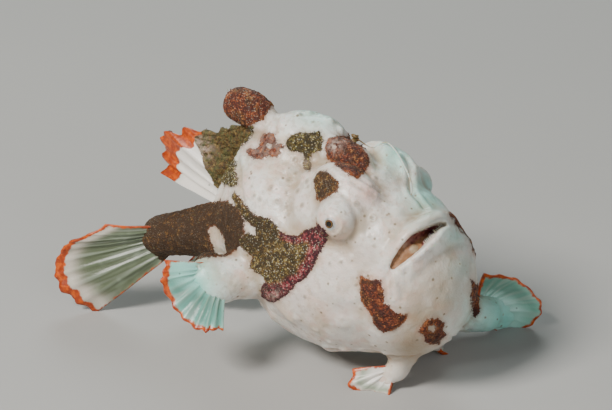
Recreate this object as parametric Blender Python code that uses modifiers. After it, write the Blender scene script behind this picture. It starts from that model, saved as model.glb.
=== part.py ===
"""Warty frogfish, life size, as a still model that rests on its fins.

Sizes are millimetres in the fish's own frame: X points to the snout, Y to the fish's left
and Z up, with the floor at Z = 0. The finished nodes are moved so that the middle of the
whole fish's box stands over the origin.
"""
import math
import random

import bmesh
import bpy
from mathutils import Matrix, Vector
from mathutils.bvhtree import BVHTree

MM = 0.001
GAP = 0.3
RIGHT = -1
LEFT = 1

# Head and trunk: each lump is a centre, its three radii and a tilt about Y in degrees.
TRUNK_LUMPS = {
    "chest": ((15.0, 0.0, 20.9), (23.5, 16.6, 17.0), 0),
    "flank": ((2.0, 0.0, 26.0), (14.8, 15.0, 16.0), 0),
    "rear": ((-6.0, -1.0, 21.5), (10.0, 9.0, 9.5), 0),
    "belly": ((13.0, 0.0, 13.2), (19.0, 13.6, 10.0), 0),
    "chin": ((29.8, 0.0, 21.2), (12.8, 13.4, 15.0), 0),
    "snout": ((26.5, 0.0, 30.0), (10.6, 12.0, 8.8), 10),
    "forehead": ((16.5, 0.0, 32.0), (13.5, 12.8, 10.3), 0),
    "hump": ((2.5, 1.0, 38.5), (8.5, 6.8, 9.4), 0),
    "hump_front": ((7.0, 2.0, 40.5), (5.5, 5.5, 7.3), 0),
    "nape": ((-3.0, 0.0, 35.0), (8.0, 8.5, 8.5), 0),
}
# The tail stem and the fleshy base of the soft dorsal fin: a centre and a radius each.
TAIL_STEM = (
    ((-4.0, -1.0, 21.0), 9.5),
    ((-12.0, -3.0, 20.0), 6.6),
    ((-19.0, -5.5, 18.5), 4.7),
    ((-26.0, -9.0, 16.5), 4.0),
)
DORSAL_BASE = (
    ((-3.0, 0.0, 38.5), 3.0),
    ((-9.0, -1.0, 35.0), 3.0),
    ((-12.5, -2.0, 29.0), 3.0),
    ((-14.0, -3.0, 24.0), 2.5),
)
PALM_RIGHT = ((-2.0, -19.3, 18.6), (5.6, 4.4, 2.9), 45)
BROW_CENTRE = (19.5, 6.4, 38.9)
BROW_RADII = (7.5, 4.2, 4.9)
BROW_TILT = 10

# Eyes: the turret is a dome of skin, given as its centre, its radius and the way that the
# eye looks, and the ball stands out of it that way. The two eyes look different ways.
TURRETS = {
    RIGHT: ((21.8, -11.0, 35.8), 4.2, (0.236, -0.965, 0.114)),
    LEFT: ((21.8, 10.5, 34.4), 4.2, (0.0, 0.95, 0.312)),
}
EYE_RADIUS = 1.9
EYE_OUT = 3.0
LID_OUT = 3.25
LID_RADIUS = 2.5
LID_THICKNESS = 0.4
NOSTRIL_PLACE = (30.2, 4.6)
NOSTRIL_FROM = 30.0
NOSTRIL_RADIUS = 0.75
NOSTRIL_THICKNESS = 0.35
GILL_PLACE = (-4.5, 2.0, 15.0)
GILL_RADII = (0.8, 1.6, 0.8)

# Mouth: an arch across the front of the head, and the way that it cuts inwards.
MOUTH_MIDDLE = -1.8
MOUTH_REACH = {RIGHT: 9.1, LEFT: 11.6}
MOUTH_ARCH = {RIGHT: 3.0, LEFT: 1.8}
MOUTH_BEYOND_CORNER = 2.6
MOUTH_TOP = (37.2, 34.9)
MOUTH_CORNER_DROP = (3.4, 6.5)
MOUTH_INWARD = (-0.75, -0.65)
MOUTH_DEPTH = 8.5
MOUTH_OPEN = 2.9
MOUTH_NARROWER = {RIGHT: 0.35, LEFT: 0.85}
MOUTH_MIDDLE_SHARE = 0.2
TOOTH_COUNT = 15
TOOTH_RADIUS = 0.32
TOOTH_LENGTH = 1.3
TOOTH_SUNK = 0.5
TOOTH_ROW_WIDTH = 0.86
TOOTH_INWARD = (1.5, 2.0)
UPPER_LIP_RADIUS = 1.5
LOWER_LIP_RADIUS = 1.8
UPPER_LIP_SHIFT = (-1.2, 0.0, 1.3)
LOWER_LIP_SHIFT = (0.6, 0.0, -1.7)
LIP_TAPER = 0.35

# Limbs: each is a centre and a radius from the root to the wrist or ankle.
LIMBS = {
    "pectoral_arm_right": (
        ((2.0, -11.0, 18.0), 5.2),
        ((-0.5, -16.0, 18.0), 4.8),
        ((-1.8, -19.5, 18.6), 3.4),
    ),
    "pectoral_arm_left": (
        ((9.0, 8.0, 15.0), 5.8),
        ((18.5, 14.5, 9.4), 5.2),
        ((26.5, 19.0, 5.6), 4.5),
        ((31.0, 23.8, 4.4), 3.6),
    ),
    "pelvic_leg_right": (
        ((31.0, -2.5, 10.0), 3.6),
        ((31.5, -3.2, 5.5), 2.6),
        ((30.5, -4.5, 3.4), 2.3),
    ),
    "pelvic_leg_left": (
        ((29.0, 4.0, 11.0), 3.8),
        ((29.3, 7.6, 6.2), 2.9),
        ((28.8, 10.2, 3.8), 2.5),
    ),
}
# Where each limb is parted from the trunk: a centre, the way it faces and a half size.
LIMB_CUTS = {
    "pectoral_arm_right": ((0.0, -15.6, 18.0), (-0.3, -1.0, 0.05), 8.0),
    "pectoral_arm_left": ((21.5, 16.8, 7.8), (0.80, 0.50, -0.35), 6.6),
    "pelvic_leg_right": ((31.4, -3.1, 5.6), (0.1, -0.2, -1.0), 5.0),
    "pelvic_leg_left": ((29.3, 7.6, 6.0), (-0.1, 0.6, -0.8), 4.5),
}
# Where the trunk is parted, and a place inside each of its nodes.
TRUNK_CUTS = (
    ((7.0, 0.0, 25.0), (1.0, -0.15, 0.12), 40.0),
    ((-12.5, -3.0, 24.0), (-0.9, -0.3, -0.25), 20.0),
)
TRUNK_PLACES = {
    "head": (20.0, 0.0, 28.0),
    "lower_jaw": (36.0, 0.0, 20.0),
    "torso": (-2.0, 0.0, 26.0),
    "tail": (-20.0, -6.0, 18.0),
}

# Fins: root and tip lines through a few places, the count of rays, how deep the tips are
# scalloped, how far the middle bows out and the folds across it.
FINS = {
    "soft_dorsal_fin": {
        "root": ((-5.0, -0.5, 39.0), (-9.5, -1.2, 34.5), (-12.5, -2.0, 28.5), (-13.5, -3.0, 24.5)),
        "tip": ((-9.5, -0.8, 43.5), (-20.0, -0.5, 38.0), (-32.0, -1.0, 35.5), (-31.0, -3.0, 26.5)),
        "rays": 12, "scallop": 0.05, "bow": 0.8, "folds": (1.0, 2.0),
    },
    "caudal_fin": {
        "root": ((-23.5, -7.6, 19.8), (-24.5, -8.2, 16.8), (-23.5, -7.6, 13.6)),
        "tip": ((-34.0, -17.0, 19.5), (-41.5, -21.5, 14.0), (-43.0, -23.0, 6.0), (-36.0, -19.0, -0.6)),
        "rays": 9, "scallop": 0.06, "bow": 1.0, "folds": (0.8, 1.5),
    },
    "anal_fin": {
        "root": ((-7.0, -2.0, 14.0), (-12.0, -3.2, 15.5), (-17.0, -4.8, 16.5)),
        "tip": ((-12.0, -3.5, 5.0), (-18.5, -5.5, 3.5), (-24.0, -7.5, 7.5)),
        "rays": 7, "scallop": 0.06, "bow": 0.6, "folds": (0.5, 1.0),
    },
    "pectoral_fin_right": {
        "root": ((-3.4, -18.8, 21.3), (-2.4, -20.0, 18.6), (-0.2, -18.8, 15.6)),
        "tip": ((-8.5, -26.5, 23.2), (-8.0, -28.5, 19.0), (-2.5, -29.0, 15.0), (2.5, -28.0, 11.5),
                (5.0, -25.0, 12.0)),
        "rays": 10, "scallop": 0.08, "bow": 1.2, "folds": (1.2, 1.5),
    },
    "pectoral_fin_left": {
        "root": ((29.8, 23.4, 7.4), (31.2, 24.4, 5.2), (30.2, 23.6, 2.8)),
        "tip": ((30.0, 24.5, 13.0), (35.0, 30.5, 10.5), (37.8, 33.8, 4.8), (36.0, 31.0, -0.6),
                (32.5, 27.0, -0.8)),
        "rays": 10, "scallop": 0.08, "bow": 1.2, "folds": (1.0, 1.5),
    },
    "pelvic_fin_right": {
        "root": ((29.8, -4.0, 4.6), (29.3, -4.9, 3.2), (30.6, -4.9, 2.0)),
        "tip": ((23.6, -8.8, 3.4), (24.0, -10.5, 0.0), (27.5, -9.0, -0.8), (31.5, -7.5, -0.8)),
        "rays": 5, "scallop": 0.12, "bow": 0.8, "folds": (0.4, 1.0),
    },
    "pelvic_fin_left": {
        "root": ((27.0, 9.6, 4.4), (27.8, 11.2, 3.4), (29.6, 10.8, 2.4)),
        "tip": ((22.5, 12.0, 2.6), (23.0, 14.0, -0.3), (27.0, 14.8, -0.8), (30.8, 13.8, -0.8)),
        "rays": 5, "scallop": 0.12, "bow": 0.8, "folds": (0.4, 1.0),
    },
}
RAY_THICKNESS = 1.2
MEMBRANE_THICKNESS = 0.6
TIP_THINNING = 0.45
FIN_ROWS = 6

# Spines on the head.
SECOND_SPINE = (
    ((22.5, 0.0, 38.4), 2.3),
    ((19.5, -0.2, 40.6), 3.0),
    ((15.0, -0.4, 42.2), 3.3),
    ((11.5, -0.6, 43.0), 2.9),
)
THIRD_SPINE = (
    ((-2.5, -0.5, 42.0), 3.2),
    ((-6.0, -0.8, 45.4), 2.9),
    ((-9.4, -1.0, 46.4), 3.6),
    ((-11.4, -1.0, 46.4), 3.2),
)
ILLICIUM = (
    ((29.5, 0.8, 36.5), 0.45),
    ((28.8, 1.8, 40.6), 0.42),
    ((25.6, 3.6, 43.0), 0.4),
    ((22.0, 5.4, 44.6), 0.38),
    ((19.0, 6.0, 45.2), 0.36),
    ((16.4, 5.2, 43.2), 0.34),
    ((13.6, 4.1, 44.6), 0.32),
)
ESCA_RADII = (1.5, 0.9, 0.8)
ESCA_TILT = 25

WART_COUNT = 56
WART_CENTRE = (10.0, 0.0, 25.0)
WART_RADII = (2.0, 3.0)
WART_SUNK = 0.68
WART_FREE_OF_MOUTH = 33.0
WART_FREE_OF_EYE = 6.5
WART_SEED = 11
WART_JITTER = 0.2
WART_BED_TRIANGLES = 4000

WHOLE_TRIANGLES = 5600
VOXEL = 0.8
SPINE_TRIANGLES = 420
SPINE_VOXEL = 0.5
LURE_VOXEL = 0.2
FLOOR_BOX = 200.0
MERGE = 1e-6

COLOURS = {
    "skin": ((0.78, 0.76, 0.72), 0.55),
    "fin": ((0.72, 0.76, 0.74), 0.45),
    "knob": ((0.32, 0.12, 0.08), 0.8),
    "eye": ((0.05, 0.04, 0.03), 0.1),
}
NODE_COLOURS = {
    "second_dorsal_spine": "knob",
    "third_dorsal_spine": "knob",
    "illicium": "fin",
    "eye_right": "eye",
    "eye_left": "eye",
}

SHIFT = Vector((0.0, 0.0, 0.0))
PARTS = None
TOOLS = None


def point(values):
    """Give a place in metres for three numbers in millimetres."""
    return Vector(values) * MM


def mirrored(values, side):
    """Give three numbers for the left side, or their mirror for the right."""
    return (values[0], values[1] * side, values[2])


def clear_scene():
    """Remove every object that the file starts with."""
    for item in list(bpy.data.objects):
        bpy.data.objects.remove(item, do_unlink=True)


def new_collection(name):
    """Make a collection and link it to the scene."""
    collection = bpy.data.collections.new(name)
    bpy.context.scene.collection.children.link(collection)
    return collection


def object_from_bmesh(name, bm):
    """Turn a bmesh into a helper object."""
    mesh = bpy.data.meshes.new(name)
    bm.to_mesh(mesh)
    bm.free()
    item = bpy.data.objects.new(name, mesh)
    item.display_type = "WIRE"
    item.hide_render = True
    TOOLS.objects.link(item)
    return item


def bake(item):
    """Replace an object's mesh by what its modifiers make of it."""
    graph = bpy.context.evaluated_depsgraph_get()
    mesh = bpy.data.meshes.new_from_object(item.evaluated_get(graph))
    item.modifiers.clear()
    old = item.data
    item.data = mesh
    bpy.data.meshes.remove(old)
    return item


def discard(items):
    """Remove helper objects that are used up."""
    for item in items:
        bpy.data.objects.remove(item, do_unlink=True)


def lump(name, centre, radii, tilt=0.0):
    """Make an ellipsoid of flesh, tilted about Y."""
    bm = bmesh.new()
    bmesh.ops.create_uvsphere(bm, u_segments=32, v_segments=20, radius=1.0)
    bmesh.ops.scale(bm, vec=point(radii), verts=bm.verts)
    turn = Matrix.Rotation(math.radians(tilt), 3, "Y")
    bmesh.ops.rotate(bm, cent=(0, 0, 0), matrix=turn, verts=bm.verts)
    bmesh.ops.translate(bm, vec=point(centre), verts=bm.verts)
    return object_from_bmesh(name, bm)


def limb(name, stations, sides=12):
    """Make a tapered limb along stations, each a centre and a radius, with round ends."""
    curve = bpy.data.curves.new(name, "CURVE")
    curve.dimensions = "3D"
    curve.bevel_depth = MM
    curve.bevel_resolution = sides // 2 - 2
    curve.resolution_u = 6
    curve.use_fill_caps = True
    spline = curve.splines.new("NURBS")
    spline.points.add(len(stations) - 1)
    spline.order_u = 3
    spline.use_endpoint_u = True
    for place, (centre, radius) in zip(spline.points, stations):
        place.co = (*point(centre), 1.0)
        place.radius = radius
    drawn = bpy.data.objects.new(name, curve)
    TOOLS.objects.link(drawn)
    graph = bpy.context.evaluated_depsgraph_get()
    bm = bmesh.new()
    tube = bpy.data.meshes.new_from_object(drawn.evaluated_get(graph))
    bm.from_mesh(tube)
    bmesh.ops.remove_doubles(bm, verts=bm.verts, dist=MERGE)
    bpy.data.meshes.remove(tube)
    bpy.data.objects.remove(drawn, do_unlink=True)
    for centre, radius in (stations[0], stations[-1]):
        place = Matrix.Translation(point(centre))
        bmesh.ops.create_uvsphere(
            bm, u_segments=20, v_segments=12, radius=radius * MM, matrix=place)
    return object_from_bmesh(name, bm)


def joined(name, pieces):
    """Gather pieces in one object without fusing them."""
    bm = bmesh.new()
    for piece in pieces:
        bm.from_mesh(piece.data)
    discard(pieces)
    return object_from_bmesh(name, bm)


def triangle_count(mesh):
    """Count a mesh's faces as triangles."""
    return sum(len(face.vertices) - 2 for face in mesh.polygons)


def flesh(name, pieces, triangles, voxel=VOXEL, smoothing=10):
    """Fuse overlapping pieces into one smooth closed body of few triangles."""
    body = joined(name, pieces)
    fuse = body.modifiers.new("fuse", "REMESH")
    fuse.mode = "VOXEL"
    fuse.voxel_size = voxel * MM
    smooth = body.modifiers.new("smooth", "SMOOTH")
    smooth.factor = 0.5
    smooth.iterations = smoothing
    bake(body)
    thin = body.modifiers.new("thin", "DECIMATE")
    thin.ratio = min(1.0, triangles / triangle_count(body.data))
    thin.use_collapse_triangulate = True
    return bake(body)


def grown(item, distance=GAP):
    """Make a copy of an object that stands out by a distance all round, to cut with."""
    copy = bpy.data.objects.new(item.name + "_grown", item.data.copy())
    copy.display_type = "WIRE"
    copy.hide_render = True
    TOOLS.objects.link(copy)
    swell = copy.modifiers.new("swell", "DISPLACE")
    swell.strength = distance * MM
    swell.mid_level = 0.0
    return bake(copy)


def slab(name, centre, facing, half_size, thickness=GAP):
    """Make a thin square sheet, to part a body where it faces a given way."""
    bm = bmesh.new()
    bmesh.ops.create_cube(bm, size=2.0)
    bmesh.ops.scale(bm, vec=point((half_size, half_size, thickness / 2)), verts=bm.verts)
    turn = Vector((0, 0, 1)).rotation_difference(Vector(facing)).to_matrix()
    bmesh.ops.rotate(bm, cent=(0, 0, 0), matrix=turn, verts=bm.verts)
    bmesh.ops.translate(bm, vec=point(centre), verts=bm.verts)
    return object_from_bmesh(name, bm)


def cut(item, cutters, solver="EXACT"):
    """Take helper solids away from an object, and remove them."""
    for cutter in cutters:
        take = item.modifiers.new("cut", "BOOLEAN")
        take.operation = "DIFFERENCE"
        take.solver = solver
        take.object = cutter
        bake(item)
    discard(cutters)
    return item


def islands(item):
    """Split an object into its loose closed surfaces, largest first."""
    bm = bmesh.new()
    bm.from_mesh(item.data)
    bm.faces.ensure_lookup_table()
    seen = set()
    pieces = []
    for start in bm.faces:
        if start.index in seen:
            continue
        seen.add(start.index)
        queue = [start]
        group = []
        while queue:
            face = queue.pop()
            group.append(face)
            for edge in face.edges:
                for other in edge.link_faces:
                    if other.index not in seen:
                        seen.add(other.index)
                        queue.append(other)
        pieces.append([face.index for face in group])
    made = []
    for number, group in enumerate(pieces):
        piece = bm.copy()
        keep = set(group)
        piece.faces.ensure_lookup_table()
        drop = [face for face in piece.faces if face.index not in keep]
        bmesh.ops.delete(piece, geom=drop, context="FACES")
        volume = piece.calc_volume()
        made.append((volume, object_from_bmesh(f"{item.name}_{number}", piece)))
    bm.free()
    made.sort(key=lambda pair: -pair[0])
    return [piece for volume, piece in made]


def keep_largest(item):
    """Drop every loose surface of an object but the largest."""
    pieces = islands(item)
    item.data = pieces[0].data.copy()
    discard(pieces)
    return item


def middle(item):
    """Give the mean place of an object's corners."""
    places = [corner.co for corner in item.data.vertices]
    return sum(places, Vector()) / len(places)


def along(places, t):
    """Give a place on a smooth line through a few places, for t from 0 to 1."""
    last = len(places) - 1
    step = min(int(t * last), last - 1)
    f = t * last - step
    p = [Vector(places[max(0, min(last, step + k))]) for k in (-1, 0, 1, 2)]
    if step == 0:
        p[0] = 2 * p[1] - p[2]
    if step == last - 1:
        p[3] = 2 * p[2] - p[1]
    return 0.5 * (2 * p[1] + (p[2] - p[0]) * f + (2 * p[0] - 5 * p[1] + 4 * p[2] - p[3]) * f * f
                  + (3 * p[1] - p[0] - 3 * p[2] + p[3]) * f ** 3)


def fin(name, root, tip, rays, scallop, bow, folds):
    """Make a fan of rays and membrane between a root line and a tip line."""
    columns = 2 * (rays - 1)
    bm = bmesh.new()
    bmesh.ops.create_grid(bm, x_segments=columns, y_segments=FIN_ROWS, size=0.5)
    group = bm.verts.layers.deform.verify()
    fold_height, fold_count = folds
    for vert in bm.verts:
        u = vert.co.x + 0.5
        v = vert.co.y + 0.5
        column = round(u * columns)
        on_ray = column % 2 == 0
        base = along(root, u)
        end = along(tip, u)
        across = along(tip, min(1.0, u + 0.05)) - along(tip, max(0.0, u - 0.05))
        facing = (end - base).cross(across).normalized()
        reach = v if on_ray else v * (1.0 - scallop)
        lift = bow * math.sin(math.pi * v)
        lift += fold_height * v * math.sin(2 * math.pi * fold_count * u)
        vert.co = (base.lerp(end, reach) + facing * lift) * MM
        width = RAY_THICKNESS if on_ray else MEMBRANE_THICKNESS
        if on_ray:
            width += (MEMBRANE_THICKNESS - width) * TIP_THINNING * v
        vert[group][0] = width / RAY_THICKNESS
    bmesh.ops.triangulate(bm, faces=bm.faces, quad_method="FIXED")
    item = object_from_bmesh(name, bm)
    item.vertex_groups.new(name="thickness")
    wall = item.modifiers.new("wall", "SOLIDIFY")
    wall.thickness = RAY_THICKNESS * MM
    wall.offset = 0.0
    wall.vertex_group = "thickness"
    return bake(item)


def clear_of(item, *others):
    """Cut an object clear of its neighbours and keep its largest piece.

    A neighbour grown along its normals can cross itself in a sharp fold, which the
    MANIFOLD solver takes and the EXACT one doesn't.
    """
    cut(item, [grown(other) for other in others], "MANIFOLD")
    return keep_largest(item)


def across_mouth(y):
    """Give how far across the mouth a place lies: -1 at the right corner, 1 at the left."""
    return (y - MOUTH_MIDDLE) / MOUTH_REACH[RIGHT if y < MOUTH_MIDDLE else LEFT]


def mouth_place(t):
    """Give the distance across, in the fish's frame, of a share of the way to a corner."""
    return MOUTH_MIDDLE + t * MOUTH_REACH[RIGHT if t < 0.0 else LEFT]


def mouth_line(y, inward=0.0):
    """Give the place where the lips meet at a distance across, or deeper in."""
    arch = MOUTH_ARCH[RIGHT if y < MOUTH_MIDDLE else LEFT]
    t = abs(across_mouth(y))
    drop = t ** arch if t < 1.0 else 1.0 + MOUTH_BEYOND_CORNER * (t - 1.0)
    x = MOUTH_TOP[0] - MOUTH_CORNER_DROP[0] * t * t + MOUTH_INWARD[0] * inward
    z = MOUTH_TOP[1] - MOUTH_CORNER_DROP[1] * drop + MOUTH_INWARD[1] * inward
    return Vector((x, y, z))


def lip(name, radius, shift):
    """Make one lip as a tube along the mouth's arch."""
    stations = []
    steps = 8
    for step in range(steps + 1):
        t = 2.0 * step / steps - 1.0
        place = mouth_line(mouth_place(t)) + Vector(shift)
        stations.append((tuple(place), radius * (1.0 - LIP_TAPER * t * t)))
    return limb(name, stations)


def jaw_sheet():
    """Make the sheet that parts the lower jaw, thick where the mouth stands open."""
    across = 24
    outside = -12.0
    depths = (outside, 0.0, 2.0, 4.5, 7.0, MOUTH_DEPTH)
    below = (5.0, 14.0, 40.0)
    rows = len(depths) + len(below)
    half = 20.0
    bm = bmesh.new()
    bmesh.ops.create_grid(bm, x_segments=across, y_segments=rows - 1, size=0.5)
    group = bm.verts.layers.deform.verify()
    for vert in bm.verts:
        y = 2 * half * vert.co.x
        row = round((vert.co.y + 0.5) * (rows - 1))
        inward = depths[min(row, len(depths) - 1)]
        place = mouth_line(y, inward)
        width = mouth_gap(y, inward)
        if row >= len(depths):
            place.z -= below[row - len(depths)]
        vert.co = place * MM
        vert[group][0] = width / MOUTH_OPEN
    bmesh.ops.triangulate(bm, faces=bm.faces, quad_method="FIXED")
    item = object_from_bmesh("jaw_sheet", bm)
    item.vertex_groups.new(name="thickness")
    wall = item.modifiers.new("wall", "SOLIDIFY")
    wall.thickness = MOUTH_OPEN * MM
    wall.offset = 0.0
    wall.vertex_group = "thickness"
    return bake(item)


def eye_centre(side):
    """Give the middle of an eyeball."""
    centre, radius, axis = TURRETS[side]
    return Vector(centre) + EYE_OUT * Vector(axis)


def ball(name, centre, radius, segments=16):
    """Make a round ball."""
    bm = bmesh.new()
    place = Matrix.Translation(point(centre))
    bmesh.ops.create_uvsphere(
        bm, u_segments=segments, v_segments=segments * 5 // 8, radius=radius * MM, matrix=place)
    return object_from_bmesh(name, bm)


def trunk_pieces():
    """Make the lumps of the head and trunk, with the tail stem and the base of the fin."""
    pieces = [lump(name, *values) for name, values in TRUNK_LUMPS.items()]
    pieces.append(limb("tail_stem", TAIL_STEM))
    pieces.append(limb("dorsal_base", DORSAL_BASE))
    return pieces


def tree_of(item):
    """Give a search tree of an object's faces."""
    bm = bmesh.new()
    bm.from_mesh(item.data)
    tree = BVHTree.FromBMesh(bm)
    bm.free()
    return tree


def surface_from(tree, start, direction):
    """Give where a straight line from inside an object leaves it, and how it faces there."""
    place, facing, face, distance = tree.ray_cast(point(start), Vector(direction))
    return place / MM, facing


def wart_pieces():
    """Scatter low warts evenly over the head and trunk, clear of the face and eyes."""
    trunk = flesh("wart_bed", trunk_pieces(), WART_BED_TRIANGLES)
    tree = tree_of(trunk)
    draw = random.Random(WART_SEED)
    eyes = [eye_centre(side) for side in (RIGHT, LEFT)]
    pieces = []
    golden = math.pi * (3.0 - math.sqrt(5.0))
    for number in range(WART_COUNT):
        height = 1.0 - 2.0 * (number + 0.5) / WART_COUNT
        turn = golden * number + draw.uniform(-WART_JITTER, WART_JITTER)
        flat = math.sqrt(1.0 - height * height)
        direction = Vector((flat * math.cos(turn), flat * math.sin(turn), height))
        place, facing = surface_from(tree, WART_CENTRE, direction)
        radius = draw.uniform(*WART_RADII)
        near_eye = min((place - eye).length for eye in eyes) < WART_FREE_OF_EYE
        if place.x > WART_FREE_OF_MOUTH or near_eye:
            continue
        seat = place - facing * radius * WART_SUNK
        pieces.append(lump("wart", seat, (radius,) * 3))
    discard([trunk])
    return pieces


def make_whole():
    """Fuse the head, trunk, tail stem and limbs, with brows, turrets, lips and warts."""
    pieces = trunk_pieces() + wart_pieces()
    pieces.append(lip("upper_lip", UPPER_LIP_RADIUS, UPPER_LIP_SHIFT))
    pieces.append(lip("lower_lip", LOWER_LIP_RADIUS, LOWER_LIP_SHIFT))
    for name, stations in LIMBS.items():
        pieces.append(limb(name, stations))
    pieces.append(lump("palm", *PALM_RIGHT))
    for side in (RIGHT, LEFT):
        pieces.append(lump("brow", mirrored(BROW_CENTRE, side), BROW_RADII, BROW_TILT))
        centre, radius, axis = TURRETS[side]
        pieces.append(lump("turret", centre, (radius,) * 3))
    return flesh("whole", pieces, WHOLE_TRIANGLES)


def ring(name, centre, facing, radius, thickness, segments=18):
    """Make a round ring of flesh, such as the rim of an eye, by spinning a small circle."""
    bm = bmesh.new()
    bmesh.ops.create_circle(
        bm, segments=6, radius=thickness * MM, matrix=Matrix.Rotation(math.pi / 2, 4, "X"))
    bmesh.ops.translate(bm, vec=(radius * MM, 0, 0), verts=bm.verts)
    bmesh.ops.spin(
        bm, geom=bm.verts[:] + bm.edges[:], cent=(0, 0, 0), axis=(0, 0, 1),
        angle=2 * math.pi, steps=segments, use_merge=True)
    bmesh.ops.remove_doubles(bm, verts=bm.verts, dist=MERGE)
    bmesh.ops.recalc_face_normals(bm, faces=bm.faces)
    turn = Vector((0, 0, 1)).rotation_difference(Vector(facing)).to_matrix()
    bmesh.ops.rotate(bm, cent=(0, 0, 0), matrix=turn, verts=bm.verts)
    bmesh.ops.translate(bm, vec=point(centre), verts=bm.verts)
    return object_from_bmesh(name, bm)


def spike(name, foot, direction, radius, length, sides=6):
    """Make a pointed cone, such as a tooth."""
    bm = bmesh.new()
    bmesh.ops.create_cone(
        bm, cap_ends=True, segments=sides, radius1=radius * MM, radius2=radius * MM * 0.2,
        depth=length * MM)
    turn = Vector((0, 0, 1)).rotation_difference(Vector(direction)).to_matrix()
    bmesh.ops.rotate(bm, cent=(0, 0, 0), matrix=turn, verts=bm.verts)
    middle_of_cone = Vector(foot) + Vector(direction).normalized() * length / 2
    bmesh.ops.translate(bm, vec=point(middle_of_cone), verts=bm.verts)
    return object_from_bmesh(name, bm)


def unite(item, pieces):
    """Fuse closed pieces into an object with one Boolean, and drop loose scraps."""
    group = bpy.data.collections.new(item.name + "_pieces")
    TOOLS.children.link(group)
    for piece in pieces:
        TOOLS.objects.unlink(piece)
        group.objects.link(piece)
    fuse = item.modifiers.new("fuse", "BOOLEAN")
    fuse.operation = "UNION"
    fuse.operand_type = "COLLECTION"
    fuse.collection = group
    fuse.solver = "EXACT"
    bake(item)
    discard(pieces)
    bpy.data.collections.remove(group)
    return keep_largest(item)


def mouth_gap(y, inward):
    """Give how far the mouth stands open at a distance across and inwards."""
    across = across_mouth(y)
    t = min(1.0, abs(across))
    closing = 1.0 - max(0.0, inward) / MOUTH_DEPTH
    middle_share = math.exp(-(t / MOUTH_MIDDLE_SHARE) ** 2)
    narrower = MOUTH_NARROWER[RIGHT] * (1.0 - t) ** 2
    if across > 0.0:
        narrower = MOUTH_NARROWER[LEFT] + (narrower - MOUTH_NARROWER[LEFT]) * middle_share
    return GAP + (MOUTH_OPEN - GAP) * math.sqrt(1.0 - t ** 4) * (1.0 - narrower) * closing


def teeth():
    """Make the row of small teeth that stands inside the lower lip."""
    up = Vector((MOUTH_INWARD[1], 0.0, -MOUTH_INWARD[0])).normalized()
    pieces = []
    for number in range(TOOTH_COUNT):
        t = (number + 0.5) / TOOTH_COUNT * 2.0 - 1.0
        y = mouth_place(TOOTH_ROW_WIDTH * t)
        inward = TOOTH_INWARD[number % 2]
        if mouth_gap(y, inward) < TOOTH_LENGTH - TOOTH_SUNK + GAP:
            continue
        surface = mouth_line(y, inward) - up * mouth_gap(y, inward) / 2
        foot = surface - up * TOOTH_SUNK
        pieces.append(spike("tooth", foot, up, TOOTH_RADIUS, TOOTH_LENGTH))
    return pieces


def dress_head(head):
    """Add the rims of the eyes and nostrils to the head."""
    pieces = []
    tree = tree_of(head)
    for side in (RIGHT, LEFT):
        centre, radius, axis = TURRETS[side]
        rim = Vector(centre) + LID_OUT * Vector(axis)
        pieces.append(ring("lid", rim, axis, LID_RADIUS, LID_THICKNESS))
        x, y = NOSTRIL_PLACE
        place, facing = surface_from(tree, (x, y * side, NOSTRIL_FROM), (0, 0, 1))
        pieces.append(ring("nostril", place, facing, NOSTRIL_RADIUS, NOSTRIL_THICKNESS, 12))
    return unite(head, pieces)


def make_limbs(whole):
    """Part the limbs from the trunk, and give the nodes and what is left."""
    cut(whole, [slab(name, *values) for name, values in LIMB_CUTS.items()])
    pieces = islands(whole)
    trunk = pieces[0]
    nodes = {}
    for name, stations in LIMBS.items():
        end = point(stations[-1][0])
        nodes[name] = min(pieces[1:], key=lambda piece: (middle(piece) - end).length)
    discard([piece for piece in pieces[1:] if piece not in nodes.values()])
    return nodes, trunk


def make_trunk(trunk):
    """Part the trunk into the head, lower jaw, torso and tail."""
    cutters = [slab("parting", *values) for values in TRUNK_CUTS]
    cutters.append(jaw_sheet())
    tree = tree_of(trunk)
    for side in (RIGHT, LEFT):
        cutters.append(ball("socket", eye_centre(side), EYE_RADIUS + GAP, 20))
        place, facing = surface_from(tree, mirrored(GILL_PLACE, side), (0, side, 0))
        cutters.append(lump("gill_pore", place, GILL_RADII))
    cut(trunk, cutters)
    pieces = islands(trunk)
    nodes = {}
    for name, place in TRUNK_PLACES.items():
        nodes[name] = min(pieces[:4], key=lambda piece: (middle(piece) - point(place)).length)
    discard([piece for piece in pieces if piece not in nodes.values()])
    discard([trunk])
    dress_head(nodes["head"])
    unite(nodes["lower_jaw"], teeth())
    return nodes


def make_spines(whole):
    """Make the lure, and the two thick spines behind it."""
    second = flesh("second_dorsal_spine", [limb("spine", SECOND_SPINE)], SPINE_TRIANGLES, SPINE_VOXEL, 3)
    third = flesh("third_dorsal_spine", [limb("spine", THIRD_SPINE)], SPINE_TRIANGLES, SPINE_VOXEL, 3)
    esca = lump("esca", ILLICIUM[-1][0], ESCA_RADII, ESCA_TILT)
    lure = flesh("illicium", [limb("illicium", ILLICIUM, 8), esca], SPINE_TRIANGLES, LURE_VOXEL, 2)
    nodes = {"second_dorsal_spine": second, "third_dorsal_spine": third, "illicium": lure}
    for item in nodes.values():
        clear_of(item, whole)
    clear_of(lure, second)
    return nodes


def make_fins(whole):
    """Make every fin, cut clear of the body that carries it and of the floor."""
    nodes = {}
    for name, sizes in FINS.items():
        item = fin(name, **sizes)
        floor = slab("floor", (0.0, 0.0, -FLOOR_BOX / 4), (0, 0, 1), FLOOR_BOX, FLOOR_BOX / 2)
        cut(item, [floor])
        nodes[name] = clear_of(item, whole)
    return nodes


def material(name, colour, roughness):
    """Make a plain finish."""
    finish = bpy.data.materials.new(name)
    finish.use_nodes = True
    shader = finish.node_tree.nodes["Principled BSDF"]
    shader.inputs["Base Color"].default_value = (*colour, 1.0)
    shader.inputs["Roughness"].default_value = roughness
    return finish


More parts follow.
